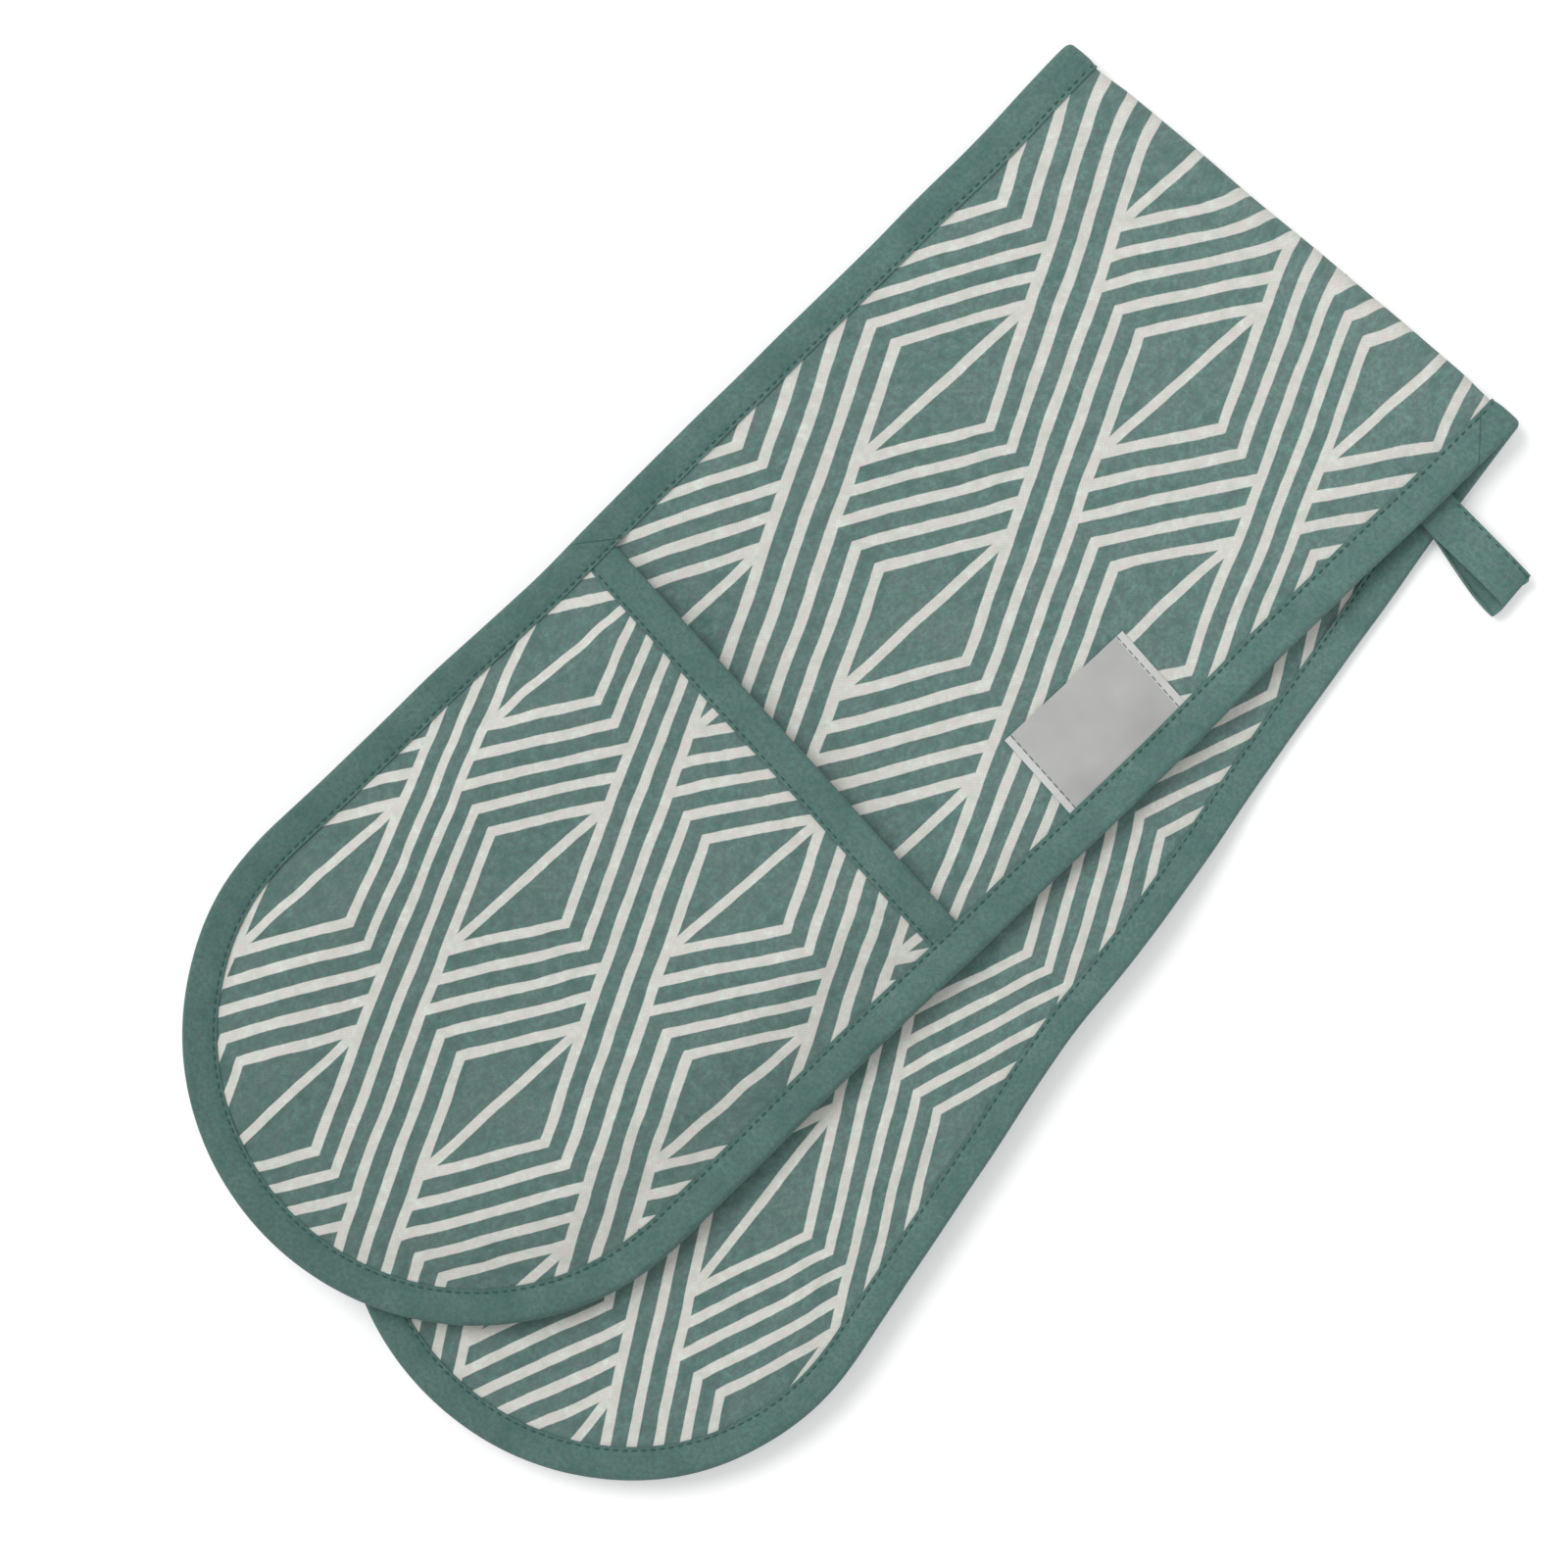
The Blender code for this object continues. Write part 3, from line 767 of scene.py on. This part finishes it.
# The lines of points across a pad, and those along the strip: fine round the fold, then wider
PAD_ROWS = 46
FOLD_STEP = 0.0007
FOLD_STEPS_REACH = 0.0084
STEP_GROWTH = 1.35
STRIP_REACH = 0.46
MOUTH_STEP = 0.002
MOUTH_STEPS_REACH = 0.016

# The simulation: a negative shrink_min lets the cloth grow
SEWN_CLOTH = {
    "quality": 6, "mass": 0.3, "vertex_group_mass": "held",
    "tension_stiffness": 12, "compression_stiffness": 12,
    "shear_stiffness": 4, "bending_stiffness": 0.08,
    "use_pressure": True, "uniform_pressure_force": 1.5, "shrink_min": -0.02,
}
SWELL_FRAMES = 20
SWELL_CAP = 0.0009

# Where the cloth comes free of its seams and of the fold
FREE_RUN = 0.008
FOLD_HELD = 0.009
FOLD_FREE_RUN = 0.02

# The padding's unevenness: height, scale and what its noise seed adds
RIPPLES = ((0.00028, 0.030, 0), (0.00012, 0.011, 3.7))


def ripple(x, y, seed):
    """Slight unevenness of the padding under the cloth."""
    return sum(height * wander(x, y, scale, seed + more) for height, scale, more in RIPPLES)


def pad_stations():
    """Distances from the middle of the fold at which the strip has a line of points."""
    found = [0.0]
    step = FOLD_STEP
    while found[-1] < STRIP_REACH:
        if found[-1] > FOLD_STEPS_REACH:
            step = min(step * STEP_GROWTH, CELL)
        found.append(found[-1] + step)
    return found


def swell(pad, freedom):
    """Inflates a pad as sewn cloth: held where freedom is 0, and moved by SWELL_CAP at most."""
    rest = [vert.co.copy() for vert in pad.data.vertices]
    free = [freedom(*item.vector) for item in pad.data.attributes["flat"].data]
    held = pad.vertex_groups.new(name="held")
    for index, share in enumerate(free):
        if share < 1:
            held.add([index], 1 - share, "REPLACE")
    cloth = pad.modifiers.new("swell", "CLOTH")
    for key, value in SEWN_CLOTH.items():
        setattr(cloth.settings, key, value)
    cloth.settings.effector_weights.gravity = 0
    cloth.collision_settings.use_collision = False
    scene = bpy.context.scene
    for step in range(SWELL_FRAMES):
        scene.frame_set(step + 1)
    moved = [vert.co.copy() for vert in evaluated(pad).data.vertices]
    pad.modifiers.remove(cloth)
    pad.vertex_groups.remove(held)
    scene.frame_set(1)
    for vert, was, now, share in zip(pad.data.vertices, rest, moved, free):
        shift = (now - was) * share
        if shift.length > SWELL_CAP:
            shift *= SWELL_CAP / shift.length
        vert.co = was + shift


def make_pad(name, half, lines, start, middle, thickness, opening, seeds):
    """A closed pad over a flat cut of cloth with a rounded tip, swollen between its seams.

    middle and thickness give its level and half thickness, opening how free it is of what holds
    it at its straight end, and seeds the unevenness of its lower (-1) and upper (1) side.
    """
    tip = Vector((half.tip_centre, 0, 0))
    columns = len(lines) - 1

    def beyond(vert):
        """How far outside the rounded tip a point lies, or -1 where the sides are straight."""
        if vert.co.x <= half.tip_centre:
            return -1
        return hypot(vert.co.x - half.tip_centre, vert.co.y) - CLOTH_HALF_WIDTH

    def freedom(x, y, side):
        """How freely the cloth swells: not at all where it is pressed flat on the table."""
        if half is BACK and side > 0:
            return 0
        return ramp(half.rim(x, y), PANEL_INSET, FREE_RUN) * opening(x, y)

    bm = grid(columns, PAD_ROWS)
    for vert in bm.verts:
        y = vert.co.y * 2 * CLOTH_HALF_WIDTH
        vert.co = (start(y) + lines[round((vert.co.x + 0.5) * columns)], y, 0)
    outside = [f for f in bm.faces if all(beyond(v) > -0.0001 for v in f.verts)]
    bmesh.ops.delete(bm, geom=outside, context="FACES")
    for vert in bm.verts:
        if beyond(vert) > 0:
            vert.co = tip + (vert.co - tip).normalized() * CLOTH_HALF_WIDTH
    bmesh.ops.recalc_face_normals(bm, faces=bm.faces)
    flat = bm.verts.layers.float_vector.new("flat")
    lower = set(bm.verts)
    bmesh.ops.solidify(bm, geom=bm.faces[:], thickness=CLOTH_THICKNESS)
    for vert in bm.verts:
        x, y = vert.co.x, vert.co.y
        side = -1 if vert in lower else 1
        vert[flat] = (x, y, side)
        uneven = ripple(x, y, seeds[side] + half.side) * freedom(x, y, side)
        vert.co = strip_place(half, x, y, middle(x, y) + side * thickness(x, y) + uneven)
    bmesh.ops.recalc_face_normals(bm, faces=bm.faces)
    if bm.calc_volume(signed=True) < 0:
        bmesh.ops.reverse_faces(bm, faces=bm.faces)
    pad = add_object(name, bm, FELT)
    swell(pad, freedom)
    return pad


def smoothed(bm):
    """The same mesh, subdivided once."""
    coarse = add_object("coarse", bm, COTTON)
    modifier = coarse.modifiers.new("smooth", "SUBSURF")
    modifier.levels = modifier.render_levels = 1
    mesh = bpy.data.meshes.new_from_object(evaluated(coarse))
    fine = opened(mesh)
    for used in (mesh, coarse.data):
        bpy.data.meshes.remove(used)
    return fine


def keep_part(bm, part):
    """Leaves only the faces on one side of the pad's middle line."""
    flat = bm.verts.layers.float_vector["flat"]
    gone = [f for f in bm.faces if sum(v[flat].y for v in f.verts) * part < -1e-9]
    bmesh.ops.delete(bm, geom=gone, context="FACES")


def cut_layer(name, half, pad, side, print_at, part=0):
    """One cloth of a pad, or the part of it on one side of the middle line."""
    bm = opened(pad.data)
    flat = bm.verts.layers.float_vector["flat"]
    other = [f for f in bm.faces if any(v[flat].z * side < 0 for v in f.verts)]
    bmesh.ops.delete(bm, geom=other, context="FACES")
    bm = smoothed(bm)
    if part:
        keep_part(bm, part)
    layer = bm.loops.layers.uv.new("print")
    flat = bm.verts.layers.float_vector["flat"]
    for vert in bm.verts:
        point = print_at(half, vert[flat].x, vert[flat].y)
        for loop in vert.link_loops:
            loop[layer].uv = point
    sharpen_borders(bm)
    return thicken(add_object(name, bm, COTTON), CLOTH_THICKNESS)


def cut_wadding(name, pad, part=0):
    """The filling of a pad: the same body, a little smaller all round."""
    bm = opened(pad.data)
    bm.normal_update()
    for vert in bm.verts:
        vert.co -= vert.normal * (CLOTH_THICKNESS + WADDING_GAP)
    if part:
        keep_part(bm, part)
        open_edges = [e for e in bm.edges if len(e.link_faces) == 1]
        bmesh.ops.holes_fill(bm, edges=open_edges)
        bmesh.ops.recalc_face_normals(bm, faces=bm.faces)
    return add_object(name, bm, FELT)


def make_body(half):
    def level(x, y):
        return half.mid(x)

    def past_fold(x, y):
        return ramp(x, fold_line(y) + FOLD_HELD, FOLD_FREE_RUN)

    pad = make_pad(f"{half.name}_strip_wadding", half, pad_stations(), fold_line, level,
                   half.body_half, past_fold, {-1: 11, 1: 23})
    outer = cut_layer(f"{half.name}_outer_cotton", half, pad, 1, outer_print)
    inner = cut_layer(f"{half.name}_inner_cotton", half, pad, -1, inner_print)
    filling = cut_wadding(f"{half.name}_strip_filling", pad)
    bpy.data.objects.remove(pad)
    return outer, inner, filling


def make_pocket(half):
    """A pocket's cover, lining and filling, by part: they are cut along its middle line."""
    def start(y):
        return half.mouth_at(y) + MOUTH_EDGE_INSET

    def behind_mouth(x, y):
        return ramp(x, half.mouth_at(y) + MOUTH_WIDTH, FREE_RUN)

    lines = ways(0.0, half.reach - half.mouth + 0.002, CELL, MOUTH_STEPS_REACH, MOUTH_STEP)
    pad = make_pad(f"{half.name}_pocket_pad", half, lines, start, half.pocket_mid,
                   half.pocket_half, behind_mouth, {-1: 31, 1: 47})
    pieces = {}
    for word, part in PARTS:
        pieces[word] = (
            cut_layer(f"{half.name}_pocket_cotton_{word}", half, pad, 1, pocket_print, part),
            cut_layer(f"{half.name}_pocket_lining_{word}", half, pad, -1, lining_print, part),
            cut_wadding(f"{half.name}_pocket_filling_{word}", pad, part),
        )
    bpy.data.objects.remove(pad)
    return pieces


# Stitches

def stitch(here, along, across, core):
    """A stitch's place, direction and normal, which points away from the core."""
    normal = along.cross(across).normalized()
    if normal.dot(here - core) < 0:
        normal.negate()
    return here, along.normalized(), normal


def make_stitches(name, places, length, width, height):
    """Rounded stitches, each half sunk in the cloth."""
    single = bmesh.new()
    bmesh.ops.create_uvsphere(single, u_segments=6, v_segments=4, radius=1)
    ball = [vert.co.copy() for vert in single.verts]
    mesh = bpy.data.meshes.new("single_stitch")
    single.to_mesh(mesh)
    single.free()
    bm = bmesh.new()
    for place in places:
        bm.from_mesh(mesh)
    bpy.data.meshes.remove(mesh)
    verts = iter(bm.verts[:])
    for point, along, normal in places:
        side = normal.cross(along)
        axes = Matrix((side * width / 2, normal * height / 2, along * length / 2))
        axes.transpose()
        for spot in ball:
            next(verts).co = point + normal * height * STITCH_PROUD + axes @ spot
    return add_object(name, bm, THREAD)


# Bindings

# A folded tape across: its points on each face as shares of its width, and round its fold. Its
# level is 1 at the full height, and each face bulges between the fold and the seam
FLANGE_INSETS = (1.0, 0.962, 0.933, 0.905, 0.876, 0.82, 0.70, 0.56, 0.42, 0.29)
ROUND_ANGLES = [radians(turn) for turn in steps(8, 90, -90)]
TAPE_LEVEL = 0.97
TAPE_BULGE = 0.055

# The seam's groove, its wider pull, and how deep the stitches and the gathers go in it
GROOVE_RUN = 0.0008
GROOVE_DEPTH = 0.00022
PULL_RUN = 0.0018
STITCH_DEPTH = 0.00008
GATHER_DEPTH = 0.00014

# A tape thinner than this isn't pressed at all, and what it takes above that to be pressed fully
STIFF_REACH = 0.0012
GIVE_RUN = 0.0009

# Where along the roll of tape each piece was cut, and how wide the edge tape lies
BACK_TAPE_CUT = -2.0
MOUTH_TAPE_CUT = -0.3
LOOP_TAPE_CUT = -0.6
SPREAD = {"front": (0.04, 0.12), "back": (0.0, 0.0)}
SPREAD_FOLD = (0.11, 0.12)
SPREAD_START = 0.03
SPREAD_RUN = 0.07
FOLD_CALM = 0.02
MOUTH_TAPE_HALVES = (0.0013, 0.0020)
NEARBY = 0.0005


def tape_profile(width):
    """A folded tape across: (inset from its fold, level from 1 on the outer to -1 on the inner)."""
    seam = width - SEAM_FROM_EDGE

    def level(inset):
        share = (inset - BINDING_ROUND) / (seam - BINDING_ROUND)
        return TAPE_LEVEL + TAPE_BULGE * sin(pi * clip(share))

    outer = [(width * share, level(width * share)) for share in FLANGE_INSETS]
    rounding = [(BINDING_ROUND * (1 - cos(angle)), TAPE_LEVEL * sin(angle))
                for angle in ROUND_ANGLES]
    inner = [(inset, -height) for inset, height in reversed(outer)]
    return outer + rounding + inner


class Tape:
    """A folded tape: its points come from a way along it and a place across its profile.

    sway and crease give the size, the waves per metre and the noise seed of how the tape strays
    to the side and of the small creases in its faces.
    """

    sway = crease = (0.0, 0.0, 0.0)

    def __init__(self, half, width, cut):
        self.half = half
        self.width = width
        self.cut = cut
        self.profile = tape_profile(width)
        self.girths = lengths_along([(inset, level * BINDING_HALF)
                                     for inset, level in self.profile])

    def shape(self, way, index):
        inset, level = self.profile[index]
        return self.point(way, inset, level), (way + self.cut, self.girths[index])

    def pressed(self, way, inset):
        """How deep the stitches draw the tape in along its seam."""
        off_seam = inset - self.width + SEAM_FROM_EDGE
        groove = exp(-(off_seam / GROOVE_RUN) ** 2)
        pull = exp(-(off_seam / PULL_RUN) ** 2)
        gather = noise_at(way * 55, self.width * 300, self.half.side)
        dip = STITCH_DEPTH * (1 - cos(2 * pi * way / STITCH_PITCH))
        return GROOVE_DEPTH * groove + pull * (dip + GATHER_DEPTH * gather)

    def raised(self, way, inset, level, reach):
        """Height over the tape's middle, on either face."""
        give = ramp(reach, STIFF_REACH, GIVE_RUN)
        pressed = self.pressed(way, inset) * clip(abs(level) * 1.1) * give
        return level * reach - sign(level) * pressed

    def swayed(self, way):
        size, rate, seed = self.sway
        return size * noise_at(way * rate, self.half.side, seed)

    def creased(self, way, inset, level):
        """The small creases in either face, with none round the fold."""
        if inset <= BINDING_ROUND:
            return 0
        size, rate, seed = self.crease
        return size * noise_at(way * rate, inset * 120, seed + self.half.side) * sign(level)

    def make(self, name, alongs):
        on_outer_face = lambda way, index: index < 8
        return surface(name, alongs, range(len(self.profile)), self.shape, BINDING,
                       on_outer_face, (0, 0, self.half.side), TAPE_THICKNESS)

    def stitches(self, start, end):
        """The seam's stitches on both faces."""
        inset = self.width - SEAM_FROM_EDGE
        count = round((end - start) / STITCH_PITCH)
        found = []
        for side in (1, -1):
            for step in range(count):
                way = start + (step + 0.5) * (end - start) / count
                along, back = (self.point(way + off, inset, side) for off in (NEARBY, -NEARBY))
                in_, out = (self.point(way, inset + off, side) for off in (NEARBY, -NEARBY))
                found.append(stitch(self.point(way, inset, 0.98 * side), along - back, in_ - out,
                                    self.point(way, inset, 0)))
        return found


class EdgeTape(Tape):
    """The binding round one half, from the fold round the tip and back to the fold."""

    sway = (0.00028, 22, 2.2)
    crease = (0.00022, 110, 5.5)

    def __init__(self, half):
        super().__init__(half, BINDING_WIDTH, 0.0 if half is FRONT else BACK_TAPE_CUT)
        self.seam_across = HALF_WIDTH - BINDING_WIDTH + SEAM_FROM_EDGE
        self.first = half.tip_centre - fold_line(self.seam_across)
        self.round = pi * self.seam_across
        self.last = half.tip_centre - fold_line(-self.seam_across)
        self.length = self.first + self.round + self.last

    def flat(self, way, inset):
        across = HALF_WIDTH - inset
        half = self.half
        if way < self.first:
            return mix(fold_line(across), half.tip_centre, way / self.first), across
        if way > self.first + self.round:
            left = (self.length - way) / self.last
            return mix(fold_line(-across), half.tip_centre, left), -across
        angle = pi / 2 - (way - self.first) / self.seam_across
        return half.tip_centre + across * cos(angle), across * sin(angle)

    def spread(self, x, y):
        """How much wider than folded the tape lies, most near the fold."""
        beside_fold = 1 - ramp(x, SPREAD_START, SPREAD_RUN)
        low, high = (mix(away, at_fold, beside_fold)
                     for away, at_fold in zip(SPREAD[self.half.name], SPREAD_FOLD))
        share = (y / HALF_WIDTH * self.half.side + 1) / 2
        return 1 + mix(low, high, share)

    def point(self, way, inset, level):
        half = self.half
        loose = ramp(min(way, self.length - way), 0, FOLD_CALM)
        x, y = self.flat(way, inset)
        x, y = self.flat(way, inset * self.spread(x, y) + self.swayed(way) * loose)
        held = ramp(x, half.mouth_at(y) - BINDING_STEP_RUN, BINDING_STEP_RUN)
        reach = BINDING_HALF + (BINDING_POCKET_STEP * held if level > 0 else 0)
        height = self.raised(way, inset, level, reach) + self.creased(way, inset, level) * loose
        return strip_place(half, x, y, half.mid(x) + height)


class MouthTape(Tape):
    """The binding along a pocket's open edge."""

    sway = (0.00022, 26, 9.2)
    crease = (0.00014, 100, 8.5)

    def __init__(self, half):
        super().__init__(half, MOUTH_WIDTH, MOUTH_TAPE_CUT)

    def point(self, way, inset, level):
        half = self.half
        x = half.mouth_at(way) + inset + self.swayed(way)
        reach = mix(*MOUTH_TAPE_HALVES, half.seam_climb(HALF_WIDTH - abs(way)))
        height = self.raised(way, inset, level, reach) + self.creased(way, inset, level)
        return strip_place(half, x, way, half.pocket_mid(half.mouth, way) + height)


# The label: a ribbon along the edge, whose free edge leans by LABEL_LEAN over its length

LABEL_START = 0.1199
LABEL_LENGTH = 0.0499
LABEL_FREE_EDGE = 0.0516
LABEL_TUCKED_EDGE = 0.0816
LABEL_LEAN = 0.0014
LABEL_THICKNESS = 0.00018
LABEL_COLUMNS = 28

# Its hems, the radius of their turn, and their seams
LABEL_HEM = 0.0042
LABEL_BEND = 0.00022
LABEL_SEAM = 0.0023
LABEL_STITCHES = 11
LABEL_STITCH_SIZE = (0.0023, 0.00034, 0.0003)


def label_path():
    """The ribbon's first hem, folded under, and its whole course: (out along the edge, height)."""
    hem = [(out, 0.0) for out in steps(5, LABEL_HEM, 0)]
    hem += [(-LABEL_BEND * cos(radians(turn)), LABEL_BEND * (1 + sin(radians(turn))))
            for turn in steps(4, -60, 60)]
    top = [(out, 2 * LABEL_BEND) for out in steps(LABEL_COLUMNS, 0, LABEL_LENGTH)]
    return hem, hem + top + [(LABEL_LENGTH - out, height) for out, height in reversed(hem)]


def make_label(cover):
    """A bare satin label with its short ends folded under, tucked into the binding's seam."""
    bm = opened(cover.data)
    tree = BVHTree.FromBMesh(bm)
    bm.free()
    hem, path = label_path()
    girths = lengths_along(path)

    def lie(x, y):
        """The level of the cover below."""
        start = FRONT.matrix @ Vector((x, min(y, HALF_WIDTH - 0.0012), 0.05))
        return tree.ray_cast(start, Vector((0, 0, -1)))[0].z

    def shape(index, share):
        out, height = path[index]
        free_edge = LABEL_FREE_EDGE - LABEL_LEAN * out / LABEL_LENGTH
        y = mix(free_edge, LABEL_TUCKED_EDGE, share)
        x = LABEL_START + out + LABEL_LEAN * share
        tucked = ramp(y, 0.0765, 0.004)
        bow = 0.0005 * (1 - ramp(share, 0, 1 / 3)) * sin(pi * clip(out / LABEL_LENGTH)) ** 2
        wave = 0.0003 * wander(out, y, 0.016, 6.2)
        place = FRONT.matrix @ Vector((x, y, 0))
        over = mix(0.0003 + bow + wave, 0.0001, tucked)
        place.z = lie(x, y) + height * mix(1, 0.4, tucked) + over
        return place, (girths[index], share * (LABEL_TUCKED_EDGE - LABEL_FREE_EDGE))

    on_top = lambda index, share: len(hem) < index < len(hem) + LABEL_COLUMNS
    label = surface("bare_satin_label", range(len(path)), steps(14), shape, SATIN, on_top,
                    (0, 0, 1), LABEL_THICKNESS)
    seams = []
    for out in (LABEL_SEAM, LABEL_LENGTH - LABEL_SEAM):
        place = out / LABEL_LENGTH * LABEL_COLUMNS
        before = len(hem) + int(place)
        for step in range(LABEL_STITCHES):
            share = (step + 0.4) / LABEL_STITCHES
            here = shape(before, share)[0].lerp(shape(before + 1, share)[0], place - int(place))
            along = shape(before, min(share + 0.02, 1))[0] - shape(before, share - 0.02)[0]
            seams.append((here, along.normalized(), Vector((0, 0, 1))))
    return label, seams


# The loop, whose tape runs through its knots: (out from the edge, height)

LOOP_WIDTH = 0.0134
LOOP_SETBACK = 0.0225
LOOP_REACH = 0.0380
LOOP_THICKNESS = 0.0009
LOOP_TAPE_LENGTH = 0.094
LOOP_LEVEL = 0.0002
LOOP_KNOTS = ((-0.0090, 0.00065), (0.0010, 0.00065), (0.0075, 0.0007), (0.0137, 0.00105),
              (0.0209, 0.0015), (0.0285, 0.0014), (0.0342, 0.0006), (0.0372, -0.0006),
              (0.0381, -0.0021), (0.0371, -0.0038), (0.0342, -0.0049), (0.0285, -0.0055),
              (0.0209, -0.0053), (0.0137, -0.0045), (0.0075, -0.0014), (0.0010, -0.00065),
              (-0.0090, -0.00065))

LOOP_STITCH_SIZE = (0.0017, 0.00045, 0.0004)


def loop_point(share, across):
    out, height = through(LOOP_KNOTS, share)
    lower_leg = ramp(share, 0.47, 0.08)
    askew = 0.0042 * lower_leg * ramp(out, 0.002, 0.034)
    narrowing = 0.10 * (1 - lower_leg) * ramp(out, 0, LOOP_REACH) * max(-across, 0) * 2
    edge_drop = 0.25 * clip((abs(across) - 0.42) / 0.08)
    wave = 0.00018 * noise_at(share * 14, across * 3, 4.4)
    slant = 0.0012 * across * ramp(out, 0.030, 0.008)
    x = LOOP_SETBACK - across * LOOP_WIDTH * (1 - narrowing) + askew
    level = LOOP_LEVEL + height * (1 - edge_drop) + wave
    return FRONT.matrix @ Vector((x, HALF_WIDTH + out - slant, level))


def make_loop():
    """The folded tape, with its end creased a little askew."""
    def shape(share, across):
        along_roll = share * LOOP_TAPE_LENGTH + LOOP_TAPE_CUT
        return loop_point(share, across), (along_roll, across * LOOP_WIDTH)

    on_upper_leg = lambda share, across: 0.1 < share < 0.3
    loop = surface("hanging_loop_tape", steps(96), steps(12, -0.5, 0.5), shape, BINDING,
                   on_upper_leg, (0, 0, 1), LOOP_THICKNESS)
    core = FRONT.matrix @ Vector((LOOP_SETBACK, HALF_WIDTH + 0.02, LOOP_LEVEL - 0.002))
    across = 0.42
    seams = []
    for share in steps(25, 0.11, 0.91):
        along = loop_point(share + 0.004, across) - loop_point(share - 0.004, across)
        side = loop_point(share, across + 0.02) - loop_point(share, across - 0.02)
        seams.append(stitch(loop_point(share, across), along.normalized(), side, core))
    return loop, seams


# Make the pieces, bake their transforms and hide the parts that they replace; the label goes on the
# front half's body

def dress(piece, slot, *nodes):
    """Hides the nodes that a piece replaces; its slot is not used."""
    if nodes:
        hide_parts(*nodes)


def blend_all(pieces, matrix):
    """Bakes each piece's transform into its mesh."""
    for piece in pieces:
        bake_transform(piece)


def dress_half(half):
    name = half.name
    outer, inner, filling = make_body(half)
    tape = EdgeTape(half)
    fine = ways(0.0, tape.length / 2, STITCH_PITCH / 2, 0.009, STITCH_PITCH / 4)
    alongs = fine + [tape.length - way for way in reversed(fine[:-1])]
    binding = tape.make(f"{name}_edge_binding", alongs)
    places = tape.stitches(0.0012, tape.length - 0.0012)
    seam = make_stitches(f"{name}_edge_stitches", places, *STITCH_SIZE)
    blend_all((outer, inner, filling, binding, seam), BEND)
    dress(outer, "printed_cotton", f"{name}_outer_cover", "fold_outer_cover")
    dress(inner, "printed_cotton", f"{name}_inner_cover", "fold_inner_cover")
    dress(filling, "wadding", f"{name}_wadding", "fold_wadding")
    dress(binding, "bias_binding", f"{name}_binding", "fold_binding_left", "fold_binding_right")
    dress(seam, "bias_binding")
    return outer


def dress_pocket(half):
    name = half.name
    tape = MouthTape(half)
    pieces = make_pocket(half)
    for word, part in PARTS:
        cover, lining, filling = pieces[word]
        alongs = [part * way for way in ways(0.0, MOUTH_REACH, STITCH_PITCH / 2)]
        edge = tape.make(f"{name}_mouth_tape_{word}", alongs)
        places = tape.stitches(*sorted((0.0, part * (HALF_WIDTH - BINDING_WIDTH))))
        seam = make_stitches(f"{name}_mouth_stitches_{word}", places, *STITCH_SIZE)
        blend_all((cover, lining, filling, edge, seam),
                  half.matrix)
        dress(cover, "printed_cotton", f"{name}_pocket_cover", f"{name}_pocket_seam")
        dress(lining, "printed_cotton", f"{name}_pocket_lining")
        dress(filling, "wadding", f"{name}_pocket_wadding")
        dress(edge, "bias_binding", f"{name}_mouth_binding")
        dress(seam, "bias_binding")


def dress_label(cover):
    label, places = make_label(cover)
    seam = make_stitches("label_stitches", places, *LABEL_STITCH_SIZE)
    for piece in (label, seam):
        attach(piece, "front_half")
    dress(label, "label_satin", "label")
    dress(seam, "bias_binding")


def dress_loop():
    loop, places = make_loop()
    seam = make_stitches("loop_stitches", places, *LOOP_STITCH_SIZE)
    blend_all((loop, seam), FRONT.matrix)
    dress(loop, "bias_binding", "hanging_loop")
    dress(seam, "bias_binding")


front_cover = dress_half(FRONT)
dress_half(BACK)
for half in (FRONT, BACK):
    dress_pocket(half)
dress_label(front_cover)
dress_loop()


# Floor, light and camera

FLOOR_GLOW = 0.2
SKY_LEVEL = 0.68
SUN_LEVEL = 0.35


def grey(level):
    return (level, level, level, 1)


def make_floor():
    """White to the camera with a glow that fades the shadow, and a pale grey to all other light."""
    shade = Shade("pale_floor")
    in_sight = shade.in_sight()
    grain = shade.noise(shade.object_place(), 60, 2.0)
    pale = shade.blend(grain, grey(0.74), grey(0.76))
    shade.fill(shade.shader, {
        "Base Color": shade.blend(in_sight, pale, grey(1)), "Roughness": 1.0,
        "Emission Color": shade.blend(in_sight, grey(0), grey(FLOOR_GLOW)),
        "Emission Strength": 1.0, "Specular IOR Level": 0.0})
    bm = bmesh.new()
    bmesh.ops.create_grid(bm, x_segments=1, y_segments=1, size=6)
    bmesh.ops.translate(bm, verts=bm.verts, vec=(0, 0, -0.0004))
    add_object("floor", bm, shade.material)


def make_world():
    """White to the camera, and dimmer as a light."""
    world = bpy.data.worlds.new("studio")
    bpy.context.scene.world = world
    world.use_nodes = True
    graph = Graph(world.node_tree)
    level = graph.node("MapRange", Value=graph.in_sight(), To_Min=SKY_LEVEL, To_Max=1.0)
    graph.fill(graph.tree.nodes["Background"], {"Color": grey(1), "Strength": level})


def make_sun():
    tilt, heading = radians(36), radians(98)
    data = bpy.data.lights.new("soft_key", "SUN")
    data.energy = SUN_LEVEL * pi / cos(tilt)
    data.angle = radians(30)
    add_to_scene("soft_key", data).rotation_euler = (tilt, 0, heading + pi / 2)


def make_camera():
    data = bpy.data.cameras.new("overhead")
    data.sensor_width = 36
    data.lens = 161
    camera = add_to_scene("overhead", data)
    camera.location = (-0.0150, 0.0226, 2.2)
    camera.rotation_euler = (0, 0, radians(-44.4))
    bpy.context.scene.camera = camera


make_floor()
make_world()
make_sun()
make_camera()
bpy.context.scene.view_settings.view_transform = "Standard"
